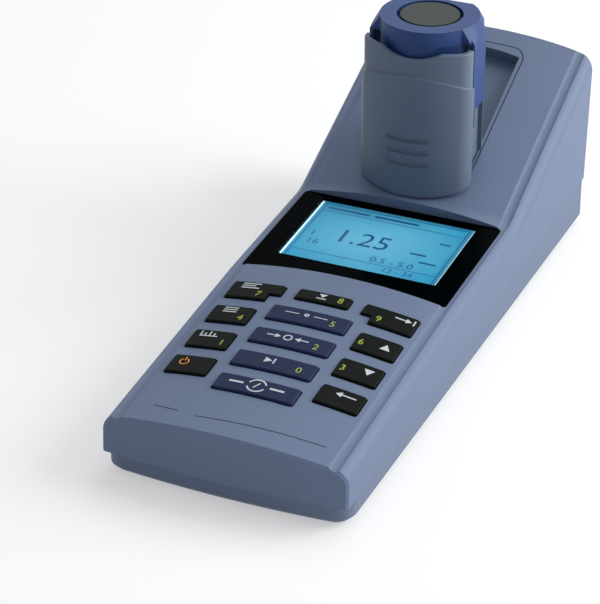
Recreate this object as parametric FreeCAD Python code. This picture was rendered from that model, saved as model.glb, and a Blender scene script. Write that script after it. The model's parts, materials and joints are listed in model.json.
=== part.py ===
import FreeCAD, Part
import math
import os
from FreeCAD import Vector

# Portable photometer with a sliding light hood over its cell shaft. Millimetres.
# X runs across the instrument, Y from the keypad end to the cell end, Z up from the table.
# The origin is the centre of the footprint at table height.

# Housing as a whole
WIDTH = 85.0
WALL = 2.2
FOOT_HEIGHT = 1.2
END_LEAN = 3.5
FRONT_BULGE = 2.2
FRONT_EDGE = 0.8
BACK_EDGE = 1.2

# Centre line of the top, from the keypad end to the cell end
TOP_FRONT_HEIGHT = 25.2
KEYPAD_SLOPE = 5.0
WINDOW_SLOPE = 2.8
REAR_SLOPE = 23.2
KEYPAD_BEND = 200.0
BROW_BEND = 14.0
CROWN_RADIUS = 205.0
SHOULDER_RADIUS = 6.0
CREASE_OFFSET = 4.3
CREASE_RADIUS = 4.0
CREASE_DEPTH = 0.5
SECTION_DEPTH = 95.0
RUN_OUT = 12.0

# Joint between the upper and lower housing
SEAM_FRONT = 8.6
SEAM_SLOPE = 2.2
CHIN_STEP = 1.2
LOWER_BACK_STEP = 4.0
LOWER_CORNER = 7.0
LOWER_EDGE = 3.0
BASE_EDGE = 2.0
SEAL_INSET = 0.7
SEAL_WIDTH = 0.9
SEAL_HEIGHT = 1.0

# Display
WINDOW_EDGE = 5.1
WINDOW_MARGIN = 0.1
WINDOW_SPAN = 55.3
BROW_MARGIN = 2.6
WINDOW_SET = 3.6
WINDOW_THICKNESS = 1.3
WINDOW_CORNER = 1.5
WINDOW_FIT = 0.15
LEDGE = 2.4
PANE_SIDE_MARGIN = 8.0
PANE_FRONT_MARGIN = 11.8
PANE_BACK_MARGIN = 2.7
LCD_BORDER = 2.4
LCD_THICKNESS = 3.0
BOARD_THICKNESS = 1.6
BOARD_FIT = 0.3
BOARD_LIFT = 2.2
MAIN_BOARD_HALF = 26.0
MAIN_BOARD_MARGIN = 13.0

# Keypad
SIDE_KEY_ROWS = [
    {-1: "key_power", 1: "key_back"},
    {-1: "key_1", 1: "key_down"},
    {-1: "key_4", 1: "key_up"},
    {-1: "key_7", 1: "key_9"},
]
CENTRE_KEY_ROWS = ["key_start", "key_0", "key_2", "key_5"]
SIDE_KEY_EDGE = 8.75
SIDE_KEY_WIDTH = 15.05
SIDE_KEY_MARGIN = 29.1
SIDE_KEY_PITCH = 15.26
SIDE_KEY_LENGTH = 9.8
KEYPAD_END_MARGIN = 12.32
CENTRE_KEY_GAP = 4.6
CENTRE_KEY_MARGIN = 23.8
CENTRE_KEY_PITCH = 13.75
CENTRE_KEY_LENGTH = 8.4
TOP_KEY_GAP = 9.1
TOP_KEY_LENGTH = 5.9
CORNER_KEY_REACH = 4.3
CORNER_KEY_NOTCH = 4.0
KEY_CORNER = 1.0
KEY_HEIGHT = 0.9
KEY_EDGE = 0.4
KEY_GAP = 0.3
KEY_TRAVEL = 0.8
KEY_FLANGE = 0.8
KEY_LIP = 0.7
STEM_HALF = 1.5
DOME_RADIUS = 2.8
DOME_HEIGHT = 0.9
DOME_SIDES = 8
KEYPAD_DEPTH = 9.0
KEYPAD_MARGIN = 5.0

# Cell shaft and the insert that carries it
SHAFT_SETBACK = 20.0
SHAFT_RADIUS = 14.2
SHAFT_WALL = 1.8
SHAFT_FLOOR = 11.0
INSERT_HALF_WIDTH = 18.5
INSERT_REACH = 53.0
INSERT_MARGIN = 8.0
INSERT_CORNER = 5.0
INSERT_GAP = 0.4
INSERT_THICKNESS = 2.2
INSERT_LIP = 2.5
INSERT_LIP_THICKNESS = 1.4
TROUGH_WALL = 1.6
TROUGH_ROOT_SETBACK = 3.5
TROUGH_ROOT_LIFT = 5.4
TROUGH_TIP = 65.9
TROUGH_DEPTH = 11.0
TROUGH_LENGTH = 49.2
TROUGH_LEAD = 8.0
TROUGH_SHOULDER = 4.5
TROUGH_END_RADIUS = 80.0
TROUGH_HALF_WIDTH = 18.0
TROUGH_FLOOR_HALF = 15.1

# Light path through the shaft
BEAM_HEIGHT = 26.0
BEAM_RADIUS = 3.0
LENS_THICKNESS = 1.2
SENSOR_STANDOFF = 8.0
SENSOR_BOARD_LENGTH = 24.0
SENSOR_BOARD_HEIGHT = 18.0
BRACKET_THICKNESS = 2.0
LED_RADIUS = 1.5
LED_LENGTH = 5.0
LED_RING = 5.0
LED_COUNT = 6
PHOTODIODE_RADIUS = 2.7
PHOTODIODE_LENGTH = 3.0

# Guide of the hood: two runners in the trough, each with a pin in a long groove
RUNNER_SETBACK = 10.7
RUNNER_LENGTH = 4.0
RUNNER_DEPTH = 4.4
RUNNER_RISE = 3.0
RUNNER_INNER = 14.0
RUNNER_OUTER = 15.2
GUIDE_PIN_RADIUS = 0.9
GUIDE_PIN_DEPTH = 3.4
GUIDE_PIN_REACH = 16.9
GUIDE_FIT = 0.08
GROOVE_FLOOR_GAP = 0.25
HOOD_TRAVEL = 39.0

# Hood
HOOD_HALF_WIDTH = 20.8
HOOD_REACH = 20.8
HOOD_FRONT_RADIUS = 33.0
HOOD_CORNER = 6.5
HOOD_SIDE_REACH = 9.2
HOOD_RIM = 92.3
HOOD_SLOPE_GAP = 0.9
HOOD_WALL = 2.0
HOOD_STEP = 0.55
STEP_HEIGHT = 83.3
STEP_RADIUS = 90.0
STEP_TILT = 14.0
SCOOP_DEPTH = 2.7
SCOOP_HALF_WIDTH = 11.5
GRIP_COUNT = 3
GRIP_PITCH = 4.7
GRIP_FIRST = 49.8
GRIP_HALF_WIDTH = 8.0
GRIP_RADIUS = 0.55
SLEEVE_HALF_WIDTH = 19.3
SLEEVE_INNER = 16.0
SLEEVE_FRONT_REACH = 13.5
SLEEVE_SIDE_SETBACK = 4.8
SLEEVE_SHOULDER_X = 17.3
SLEEVE_SHOULDER_SETBACK = 8.0
SLEEVE_BACK_SETBACK = 14.0
SLEEVE_BACK_HALF = 14.6
SLEEVE_BACK_WALL = 1.7
SLEEVE_TOP = 81.0
SLEEVE_CORNER = 1.0
RUN_GAP = 0.3

# Slider
SLIDER_TOP = 99.3
SLIDER_RADIUS = 17.7
SLIDER_HALF_WIDTH = 18.5
SLIDER_REACH = 8.8
SLIDER_EDGE = 95.8
SLIDER_FLANGE = 2.0
SLIDER_TRAVEL = 12.0
SKIRT_WALL = 1.3
SKIRT_BOTTOM = 78.2
ARM_REACH = 7.5
ARM_SETBACK = 4.0
ARM_BOTTOM = 68.0
ARM_INNER = 18.1
ARM_OUTER = 19.7
LUG_WIDTH = 4.4
LUG_SETBACK = 0.3
LUG_HEIGHT = 5.0
LUG_RISE = 3.0
DISC_RADIUS = 10.5
DISC_GAP = 1.3
DISC_THICKNESS = 2.4

# Batteries
CELL_COUNT = 4
CELL_RADIUS = 7.2
CELL_LENGTH = 50.0
CELL_PITCH = 15.0
CELL_MARGIN = 86.5
BAY_WALL = 1.4
BAY_FIT = 0.4
CONTACT_THICKNESS = 0.4
CONTACT_HALF = 3.6
CONTACT_SPRING = 2.2
COVER_HALF_WIDTH = 29.5
BAY_COVER_THICKNESS = 1.6
BAY_COVER_MARGIN = 12.5
BAY_COVER_LENGTH = 70.0
RAIL_TONGUE = 1.2
RAIL_HEIGHT = 0.8
FLOOR_THICKNESS = 2.2

# Small parts
FOOT_RADIUS = 3.9
FOOT_EDGE = 0.4
FOOT_INSET = 7.2
FOOT_FRONT_MARGIN = 26.0
FOOT_BACK_MARGIN = 30.0
SCREW_INSET = 6.3
SCREW_FRONT_MARGIN = 12.0
SCREW_BACK_MARGIN = 16.0
SCREW_RADIUS = 1.5
SCREW_HEAD_RADIUS = 2.7
SCREW_HEAD_HEIGHT = 2.0
SCREW_LENGTH = 12.0
SCREW_SEAT = 4.0
SCREW_FIT = 0.05
POST_RADIUS = 3.6
SOCKET_Z = 30.0
DATA_SOCKET_X = -14.0
DATA_SOCKET_RADIUS = 6.5
POWER_SOCKET_X = 12.0
POWER_SOCKET_RADIUS = 4.5
POWER_BORE_RADIUS = 2.8
POWER_PIN_RADIUS = 1.0
SOCKET_DEPTH = 11.0
SOCKET_FLANGE = 1.5

# Places worked out from the sizes above, along the instrument
KEYPAD_RUN = (SIDE_KEY_MARGIN + (len(SIDE_KEY_ROWS) - 1) * SIDE_KEY_PITCH + SIDE_KEY_LENGTH
              + KEYPAD_END_MARGIN)
WINDOW_RUN = WINDOW_MARGIN + WINDOW_SPAN + BROW_MARGIN
REAR_RUN = SHAFT_SETBACK + INSERT_REACH + INSERT_MARGIN
LENGTH = KEYPAD_RUN + WINDOW_RUN + REAR_RUN
FRONT = -LENGTH / 2
BACK = LENGTH / 2
BOTTOM = FOOT_HEIGHT
KEYPAD_END = FRONT + KEYPAD_RUN
BROW = KEYPAD_END + WINDOW_RUN
SIDE_KEY_START = FRONT + SIDE_KEY_MARGIN
CENTRE_KEY_START = FRONT + CENTRE_KEY_MARGIN
TOP_KEY_START = CENTRE_KEY_START + len(CENTRE_KEY_ROWS) * CENTRE_KEY_PITCH
WINDOW_FRONT = KEYPAD_END + WINDOW_MARGIN
WINDOW_BACK = WINDOW_FRONT + WINDOW_SPAN
PANE_FRONT = WINDOW_FRONT + PANE_FRONT_MARGIN
PANE_BACK = WINDOW_BACK - PANE_BACK_MARGIN
MAIN_BOARD_FRONT = FRONT + MAIN_BOARD_MARGIN
CELL_FIRST_Y = FRONT + CELL_MARGIN
BAY_COVER_FRONT = CELL_FIRST_Y - BAY_COVER_MARGIN
FOOT_FRONT_Y = FRONT + FOOT_FRONT_MARGIN
FOOT_BACK_Y = BACK - FOOT_BACK_MARGIN
SCREW_FRONT_Y = FRONT + SCREW_FRONT_MARGIN
SCREW_BACK_Y = BACK - SCREW_BACK_MARGIN
SHAFT_Y = BROW + SHAFT_SETBACK
INSERT_BACK = SHAFT_Y + INSERT_REACH
TROUGH_ROOT_Y = SHAFT_Y + TROUGH_ROOT_SETBACK
HOOD_FRONT = SHAFT_Y - HOOD_REACH
HOOD_SIDE_END = SHAFT_Y - HOOD_SIDE_REACH
SLEEVE_FRONT = SHAFT_Y - SLEEVE_FRONT_REACH
SLEEVE_SIDE_END = SHAFT_Y + SLEEVE_SIDE_SETBACK
SLEEVE_SHOULDER_Y = SHAFT_Y + SLEEVE_SHOULDER_SETBACK
SLEEVE_BACK = SHAFT_Y + SLEEVE_BACK_SETBACK
SLIDER_FRONT = SHAFT_Y - SLIDER_REACH
ARM_FRONT = SHAFT_Y - ARM_REACH
ARM_BACK = SHAFT_Y + ARM_SETBACK
LUG_BACK = SHAFT_Y - LUG_SETBACK
LUG_FRONT = LUG_BACK - LUG_WIDTH

# Places worked out from the width
HALF_WIDTH = WIDTH / 2
SIDE_KEY_OUTER = HALF_WIDTH - SIDE_KEY_EDGE
SIDE_KEY_INNER = SIDE_KEY_OUTER - SIDE_KEY_WIDTH
CENTRE_KEY_HALF = SIDE_KEY_INNER - CENTRE_KEY_GAP
TOP_KEY_HALF = SIDE_KEY_INNER - TOP_KEY_GAP
WINDOW_HALF_WIDTH = HALF_WIDTH - WINDOW_EDGE
PANE_HALF_WIDTH = WINDOW_HALF_WIDTH - PANE_SIDE_MARGIN
FOOT_X = HALF_WIDTH - FOOT_INSET
SCREW_X = HALF_WIDTH - SCREW_INSET

AXIS_X = Vector(1, 0, 0)
AXIS_Y = Vector(0, 1, 0)
AXIS_Z = Vector(0, 0, 1)
ORIGIN = Vector(0, 0, 0)


def box(x_low, x_high, y_low, y_high, z_low, z_high):
    corner = Vector(x_low, y_low, z_low)
    return Part.makeBox(x_high - x_low, y_high - y_low, z_high - z_low, corner)


def rod(radius, start, end):
    direction = end.sub(start)
    return Part.makeCylinder(radius, direction.Length, start, direction)


def fused(shapes):
    first, *rest = shapes
    return first.multiFuse(rest).removeSplitter() if rest else first


def rounded_box(x_low, x_high, y_low, y_high, z_low, z_high, radius):
    block = box(x_low, x_high, y_low, y_high, z_low, z_high)
    uprights = [edge for edge in block.Edges if is_upright(edge)]
    return block.makeFillet(radius, uprights)


def is_upright(edge):
    start, end = edge.Vertexes[0].Point, edge.Vertexes[-1].Point
    return abs(start.x - end.x) < 1e-6 and abs(start.y - end.y) < 1e-6


def prism(wire, z_low, z_high):
    face = Part.Face(wire)
    face.translate(Vector(0, 0, z_low))
    return face.extrude(Vector(0, 0, z_high - z_low))


# Centre line of the top: height above the table at a place along the instrument
def slope_rise(angle, distance):
    return distance * math.tan(math.radians(angle))


KEYPAD_END_HEIGHT = TOP_FRONT_HEIGHT + slope_rise(KEYPAD_SLOPE, KEYPAD_RUN)
BROW_HEIGHT = KEYPAD_END_HEIGHT + slope_rise(WINDOW_SLOPE, WINDOW_RUN)
BACK_HEIGHT = BROW_HEIGHT + slope_rise(REAR_SLOPE, BACK - BROW)


def top_height(y):
    if y < KEYPAD_END:
        return TOP_FRONT_HEIGHT + slope_rise(KEYPAD_SLOPE, y - FRONT)
    if y < BROW:
        return KEYPAD_END_HEIGHT + slope_rise(WINDOW_SLOPE, y - KEYPAD_END)
    return BROW_HEIGHT + slope_rise(REAR_SLOPE, y - BROW)


def crown_drop(x):
    return CROWN_RADIUS - math.sqrt(CROWN_RADIUS ** 2 - x ** 2)


def seam_height(y):
    return SEAM_FRONT + slope_rise(SEAM_SLOPE, y - FRONT)


# A profile drawn in the XZ plane is carried along the centre line of the top, round its two bends
def along_top(profile, drop=0.0):
    slopes = [KEYPAD_SLOPE, WINDOW_SLOPE, REAR_SLOPE]
    bends = [KEYPAD_BEND, BROW_BEND]
    starts = [FRONT - RUN_OUT, KEYPAD_END, BROW, BACK + RUN_OUT]
    lengths = []
    for number, slope in enumerate(slopes):
        run = starts[number + 1] - starts[number]
        lengths.append(run / math.cos(math.radians(slope)))
    face = profile.copy()
    face.rotate(ORIGIN, AXIS_X, slopes[0])
    point = Vector(0, starts[0], top_height(starts[0]) - drop)
    face.translate(point)
    pieces = []
    used = 0.0
    for number, slope in enumerate(slopes):
        heading = Vector(0, math.cos(math.radians(slope)), math.sin(math.radians(slope)))
        length = lengths[number] - used
        turn = 0.0
        if number < len(bends):
            turn = slopes[number + 1] - slope
            used = bends[number] * math.tan(math.radians(abs(turn) / 2))
            length -= used
        step = heading * length
        pieces.append(face.extrude(step))
        face.translate(step)
        point = point + step
        if turn:
            side = math.copysign(1.0, turn)
            normal = Vector(0, -heading.z, heading.y) * side
            centre = point + normal * bends[number]
            axis = AXIS_X * side
            pieces.append(face.revolve(centre, axis, abs(turn)))
            face.rotate(centre, axis, abs(turn))
            point = turned(point, centre, turn)
    return fused(pieces)


def turned(point, centre, angle):
    arm = point - centre
    cosine, sine = math.cos(math.radians(angle)), math.sin(math.radians(angle))
    return centre + Vector(arm.x, arm.y * cosine - arm.z * sine, arm.y * sine + arm.z * cosine)


# Cross-section of the housing: upright sides, round shoulders and a crowned top
def housing_section(inset):
    half = HALF_WIDTH - inset
    shoulder = SHOULDER_RADIUS - inset
    crown = CROWN_RADIUS - inset
    top = -inset
    reach = half - shoulder
    crown_centre = Vector(0, 0, top - crown)
    centre_z = crown_centre.z + math.sqrt((crown - shoulder) ** 2 - reach ** 2)
    tilt = math.atan2(reach, centre_z - crown_centre.z)
    halfway = (math.pi / 2 + tilt) / 2
    edges = []

    def shoulder_point(side, angle):
        x = side * (reach + shoulder * math.sin(angle))
        return Vector(x, 0, centre_z + shoulder * math.cos(angle))

    left = [shoulder_point(-1, angle) for angle in (math.pi / 2, halfway, tilt)]
    right = [shoulder_point(1, angle) for angle in (tilt, halfway, math.pi / 2)]
    low_left = Vector(-half, 0, -SECTION_DEPTH)
    low_right = Vector(half, 0, -SECTION_DEPTH)
    edges.append(Part.LineSegment(low_right, low_left).toShape())
    edges.append(Part.LineSegment(low_left, left[0]).toShape())
    edges.append(Part.Arc(*left).toShape())
    edges.append(Part.Arc(left[2], Vector(0, 0, top), right[0]).toShape())
    edges.append(Part.Arc(*right).toShape())
    edges.append(Part.LineSegment(right[2], low_right).toShape())
    return Part.Face(Part.Wire(edges))


# The two ends lean back together; the keypad end is bulged in plan
def leaning_ends(inset):
    half = HALF_WIDTH
    reach = half + RUN_OUT
    radius = (half ** 2 + FRONT_BULGE ** 2) / (2 * FRONT_BULGE)
    front = FRONT + inset
    back = BACK - slope_rise(END_LEAN, BACK_HEIGHT - SEAM_FRONT) - inset
    corner_y = front + radius - math.sqrt(radius ** 2 - reach ** 2)
    corners = [Vector(-reach, corner_y, 0), Vector(0, front, 0), Vector(reach, corner_y, 0)]
    back_right = Vector(reach, back, 0)
    back_left = Vector(-reach, back, 0)
    wire = Part.Wire([
        Part.Arc(*corners).toShape(),
        Part.LineSegment(corners[2], back_right).toShape(),
        Part.LineSegment(back_right, back_left).toShape(),
        Part.LineSegment(back_left, corners[0]).toShape(),
    ])
    face = Part.Face(wire)
    lean = math.tan(math.radians(END_LEAN))
    low = -RUN_OUT
    face.translate(Vector(0, (low - SEAM_FRONT) * lean, low))
    height = SECTION_DEPTH + RUN_OUT
    return face.extrude(Vector(0, height * lean, height))


# Half-space below the joint plane between the two housings, moved down or up by an offset
def below_seam(offset=0.0):
    block = box(-WIDTH, WIDTH, -RUN_OUT, LENGTH + 2 * RUN_OUT, -LENGTH, 0)
    block.rotate(ORIGIN, AXIS_X, SEAM_SLOPE)
    block.translate(Vector(0, FRONT, SEAM_FRONT + offset))
    return block


def end_edges(shape, y_low, y_high):
    found = []
    for edge in shape.Edges:
        bounds = edge.BoundBox
        if bounds.YMin > y_low and bounds.YMax < y_high and bounds.ZMax > SEAM_FRONT:
            if abs(edge.BoundBox.ZMin - edge.BoundBox.ZMax) > 0.2 or bounds.ZMin > TOP_FRONT_HEIGHT / 2:
                found.append(edge)
    return found


def housing_envelope(inset):
    return along_top(housing_section(inset)).common(leaning_ends(inset))


def crease_cutter():
    circle = Part.Circle(ORIGIN, AXIS_Y, CREASE_RADIUS)
    face = Part.Face(Part.Wire([circle.toShape()]))
    x = HALF_WIDTH - CREASE_OFFSET
    height = CREASE_RADIUS - CREASE_DEPTH - crown_drop(x)
    cutters = []
    for side in (-1, 1):
        groove = face.copy()
        groove.translate(Vector(side * x, 0, height))
        cutters.append(along_top(groove))
    return cutters


# Frames of the tilted display window: a plane set a little below the top
WINDOW_FRONT_HEIGHT = top_height(WINDOW_FRONT) - WINDOW_SET


def on_window_plane(shape):
    shape.rotate(ORIGIN, AXIS_X, WINDOW_SLOPE)
    shape.translate(Vector(0, WINDOW_FRONT, WINDOW_FRONT_HEIGHT))
    return shape


WINDOW_LENGTH = (WINDOW_BACK - WINDOW_FRONT) / math.cos(math.radians(WINDOW_SLOPE))
PANE_START = PANE_FRONT - WINDOW_FRONT
PANE_LENGTH = PANE_BACK - PANE_FRONT


def display_bezel():
    plate = rounded_box(-WINDOW_HALF_WIDTH, WINDOW_HALF_WIDTH, 0, WINDOW_LENGTH,
                        -WINDOW_THICKNESS, 0, WINDOW_CORNER)
    hole = box(-PANE_HALF_WIDTH, PANE_HALF_WIDTH, PANE_START, PANE_START + PANE_LENGTH,
               -WINDOW_THICKNESS, 0)
    return on_window_plane(plate.cut(hole))


def display_pane():
    fit = WINDOW_FIT / 2
    pane = box(-PANE_HALF_WIDTH + fit, PANE_HALF_WIDTH - fit, PANE_START + fit,
               PANE_START + PANE_LENGTH - fit, -WINDOW_THICKNESS, 0)
    return on_window_plane(pane)


def lcd_outline(margin, z_low, z_high):
    reach = PANE_HALF_WIDTH + LCD_BORDER + margin
    low = PANE_START - LCD_BORDER - margin
    high = PANE_START + PANE_LENGTH + LCD_BORDER + margin
    return box(-reach, reach, low, high, z_low, z_high)


def lcd_panel():
    top = -WINDOW_THICKNESS
    return on_window_plane(lcd_outline(0, top - LCD_THICKNESS, top))


def display_board():
    top = -WINDOW_THICKNESS - LCD_THICKNESS
    return on_window_plane(lcd_outline(LEDGE, top - BOARD_THICKNESS, top))


def window_tub():
    low = -WINDOW_THICKNESS - LCD_THICKNESS + BOARD_FIT
    reach = HALF_WIDTH + 1
    return on_window_plane(box(-reach, reach, -LEDGE, WINDOW_LENGTH + LEDGE, low, WINDOW_SET * 2))


def window_pocket():
    fit = WINDOW_FIT
    return on_window_plane(rounded_box(
        -WINDOW_HALF_WIDTH - fit, WINDOW_HALF_WIDTH + fit, -fit, WINDOW_LENGTH + fit,
        -WINDOW_THICKNESS, WINDOW_SET * 3, WINDOW_CORNER + fit))


def lcd_aperture():
    return on_window_plane(lcd_outline(BOARD_FIT, -WINDOW_THICKNESS - 2 * LCD_THICKNESS, 0))


# Keypad: every key is drawn flat, then laid on the crowned top at its own place and tilt
def rectangle(x_low, x_high, y_low, y_high):
    points = [(x_low, y_low), (x_high, y_low), (x_high, y_high), (x_low, y_high)]
    return [Vector(x, y, 0) for x, y in points]


def key_places():
    places = {}
    side_middle = (SIDE_KEY_INNER + SIDE_KEY_OUTER) / 2
    side_half = (SIDE_KEY_OUTER - SIDE_KEY_INNER) / 2
    for row, names in enumerate(SIDE_KEY_ROWS):
        for side, name in names.items():
            y = SIDE_KEY_START + row * SIDE_KEY_PITCH + SIDE_KEY_LENGTH / 2
            places[name] = (side * side_middle, y, side_half, SIDE_KEY_LENGTH / 2)
    for row, name in enumerate(CENTRE_KEY_ROWS):
        y = CENTRE_KEY_START + row * CENTRE_KEY_PITCH + CENTRE_KEY_LENGTH / 2
        places[name] = (0.0, y, CENTRE_KEY_HALF, CENTRE_KEY_LENGTH / 2)
    places["key_8"] = (0.0, TOP_KEY_START + TOP_KEY_LENGTH / 2, TOP_KEY_HALF, TOP_KEY_LENGTH / 2)
    return places


def key_outline(name, grow):
    x, y, half_x, half_y = key_places()[name]
    points = rectangle(-half_x, half_x, -half_y, half_y)
    if name in ("key_7", "key_9"):
        side = math.copysign(1.0, x)
        reach = half_x + CORNER_KEY_REACH
        notch = CORNER_KEY_NOTCH
        points = [
            Vector(side * half_x, -half_y, 0), Vector(side * half_x, half_y, 0),
            Vector(-side * reach, half_y, 0), Vector(-side * reach, -half_y + notch, 0),
            Vector(-side * half_x, -half_y, 0),
        ]
    wire = Part.makePolygon(points + points[:1])
    if grow:
        wire = Part.Face(wire).makeOffset2D(grow, join=2).OuterWire
    return wire


def key_tilt(x):
    return math.degrees(math.asin(x / CROWN_RADIUS))


def on_keypad(shape, name):
    x, y, _, _ = key_places()[name]
    shape.rotate(ORIGIN, AXIS_Y, key_tilt(x))
    shape.rotate(ORIGIN, AXIS_X, KEYPAD_SLOPE)
    shape.translate(Vector(x, y, top_height(y) - crown_drop(x)))
    return shape


def key_block(name, grow, z_low, z_high, corner):
    block = prism(key_outline(name, grow), z_low, z_high)
    if corner:
        block = block.makeFillet(corner, [edge for edge in block.Edges if is_upright(edge)])
    return block


def key(name):
    flange_top = -WALL - KEY_GAP
    low = flange_top - KEY_FLANGE
    cap = key_block(name, 0, low, KEY_HEIGHT, KEY_CORNER).common(crown(KEY_HEIGHT))
    rim = [edge for edge in cap.Edges if edge.BoundBox.ZMin > 0]
    cap = cap.makeChamfer(KEY_EDGE, rim)
    flange = key_block(name, KEY_LIP, low, flange_top, 0).common(crown(flange_top))
    body = on_keypad(fused([cap, flange]), name)
    x, y, _, _ = key_places()[name]
    foot = keypad_board_top(y) + DOME_HEIGHT + KEY_TRAVEL + KEY_GAP
    return fused([body, square_post(x, y, foot, top_height(y) - crown_drop(x) - WALL - KEY_GAP)])


def square_post(x, y, z_low, z_high):
    half = STEM_HALF
    return box(x - half, x + half, y - half, y + half, z_low, z_high)


def crown(height):
    start = Vector(0, -LENGTH, -CROWN_RADIUS)
    return rod(CROWN_RADIUS + height, start, start + AXIS_Y * (2 * LENGTH))


def key_opening(name):
    return on_keypad(key_block(name, KEY_GAP, -SHOULDER_RADIUS, SHOULDER_RADIUS, KEY_CORNER), name)


def keypad_board_top(y):
    return top_height(y) - KEYPAD_DEPTH


def keypad_span():
    low = CENTRE_KEY_START - KEYPAD_MARGIN
    high = TOP_KEY_START + TOP_KEY_LENGTH + KEYPAD_MARGIN
    return low, high


def keypad_board():
    low, high = keypad_span()
    reach = SIDE_KEY_OUTER + KEYPAD_MARGIN
    board = box(-reach, reach, 0, high - low, -BOARD_THICKNESS, 0)
    board.rotate(ORIGIN, AXIS_X, KEYPAD_SLOPE)
    board.translate(Vector(0, low, keypad_board_top(low)))
    return board


# Snap domes: eight-sided, with the top edge cut off
def snap_dome():
    corners = []
    for number in range(DOME_SIDES):
        angle = 2 * math.pi * (number + 0.5) / DOME_SIDES
        corners.append(Vector(DOME_RADIUS * math.cos(angle), DOME_RADIUS * math.sin(angle), 0))
    block = prism(Part.makePolygon(corners + corners[:1]), 0, DOME_HEIGHT)
    rim = [edge for edge in block.Edges if edge.BoundBox.ZMin > DOME_HEIGHT / 2]
    return block.makeChamfer(DOME_HEIGHT / 2, rim)


def dome_switches():
    domes = []
    for x, y, _, _ in key_places().values():
        dome = snap_dome()
        dome.rotate(ORIGIN, AXIS_X, KEYPAD_SLOPE)
        dome.translate(Vector(x, y, keypad_board_top(y)))
        domes.append(dome)
    return Part.makeCompound(domes)


# Posts that hold the keypad board hang from the inside of the top
def keypad_posts():
    low, high = keypad_span()
    posts = []
    for x in (-SIDE_KEY_INNER, SIDE_KEY_INNER):
        for y in (low + STEM_HALF, high - STEM_HALF):
            board_top = keypad_board_top(y)
            posts.append(square_post(x, y, board_top, board_top + KEYPAD_DEPTH - WALL / 2))
    return posts


# Outline of the shaft insert in plan: a round front end round the shaft and a square back end
def insert_outline(grow):
    half = INSERT_HALF_WIDTH + grow
    back = INSERT_BACK + grow
    corner = INSERT_CORNER + grow
    diagonal = corner * (1 - math.sqrt(0.5))
    front_left = Vector(-half, SHAFT_Y, 0)
    front_right = Vector(half, SHAFT_Y, 0)
    right = [Vector(half, back - corner, 0), Vector(half - diagonal, back - diagonal, 0),
             Vector(half - corner, back, 0)]
    left = [Vector(-point.x, point.y, 0) for point in reversed(right)]
    return Part.Wire([
        Part.Arc(front_left, Vector(0, SHAFT_Y - half, 0), front_right).toShape(),
        Part.LineSegment(front_right, right[0]).toShape(),
        Part.Arc(*right).toShape(),
        Part.LineSegment(right[2], left[0]).toShape(),
        Part.Arc(*left).toShape(),
        Part.LineSegment(left[2], front_left).toShape(),
    ])


def lowered(shape, drop):
    moved = shape.copy()
    moved.translate(Vector(0, 0, -drop))
    return moved


def insert_layer(envelope, grow, top, thickness):
    column = prism(insert_outline(grow), 0, SECTION_DEPTH)
    return lowered(envelope, top).common(column).cut(lowered(envelope, top + thickness))


# Frame of the rear slope: along it from the brow, and square to it
def on_slope(shape):
    shape.rotate(ORIGIN, AXIS_X, REAR_SLOPE)
    shape.translate(Vector(0, BROW, BROW_HEIGHT))
    return shape


# The trough in which the hood is guided: drawn upright and tipped back, its far end rounded to an arc
def trough(grow):
    reach = TROUGH_HALF_WIDTH + grow
    back = TROUGH_DEPTH + grow
    plan = mirrored_polygon([(reach, 0), (reach, TROUGH_SHOULDER), (TROUGH_FLOOR_HALF + grow, back)])
    top = TROUGH_LENGTH + grow
    arc_height = top - TROUGH_END_RADIUS
    end_arc = rod(TROUGH_END_RADIUS, Vector(0, -1, arc_height), Vector(0, back + 1, arc_height))
    block = prism(plan, -TROUGH_LEAD - grow, top).common(end_arc)
    block.rotate(ORIGIN, AXIS_X, -TROUGH_TIP)
    block.translate(Vector(0, TROUGH_ROOT_Y, top_height(TROUGH_ROOT_Y) + TROUGH_ROOT_LIFT))
    return block


def mirrored_polygon(points):
    right = [Vector(x, y, 0) for x, y in points]
    left = [Vector(-x, y, 0) for x, y in reversed(points)]
    outline = right + left
    return Part.makePolygon(outline + outline[:1])


# Grooves in the side walls of the trough, as long as the hood's travel
def guide_grooves():
    reach = GUIDE_PIN_RADIUS + GUIDE_FIT
    low = runner_middle() - reach
    grooves = []
    for side in (-1, 1):
        x_low, x_high = sorted((side * RUNNER_OUTER, side * (GUIDE_PIN_REACH + GROOVE_FLOOR_GAP)))
        groove = box(x_low, x_high, low, low + HOOD_TRAVEL + 2 * reach,
                     -GUIDE_PIN_DEPTH - reach, -GUIDE_PIN_DEPTH + reach)
        grooves.append(on_slope(groove))
    return grooves


def runner_middle():
    return (SHAFT_Y + RUNNER_SETBACK - BROW) / math.cos(math.radians(REAR_SLOPE))


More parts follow.
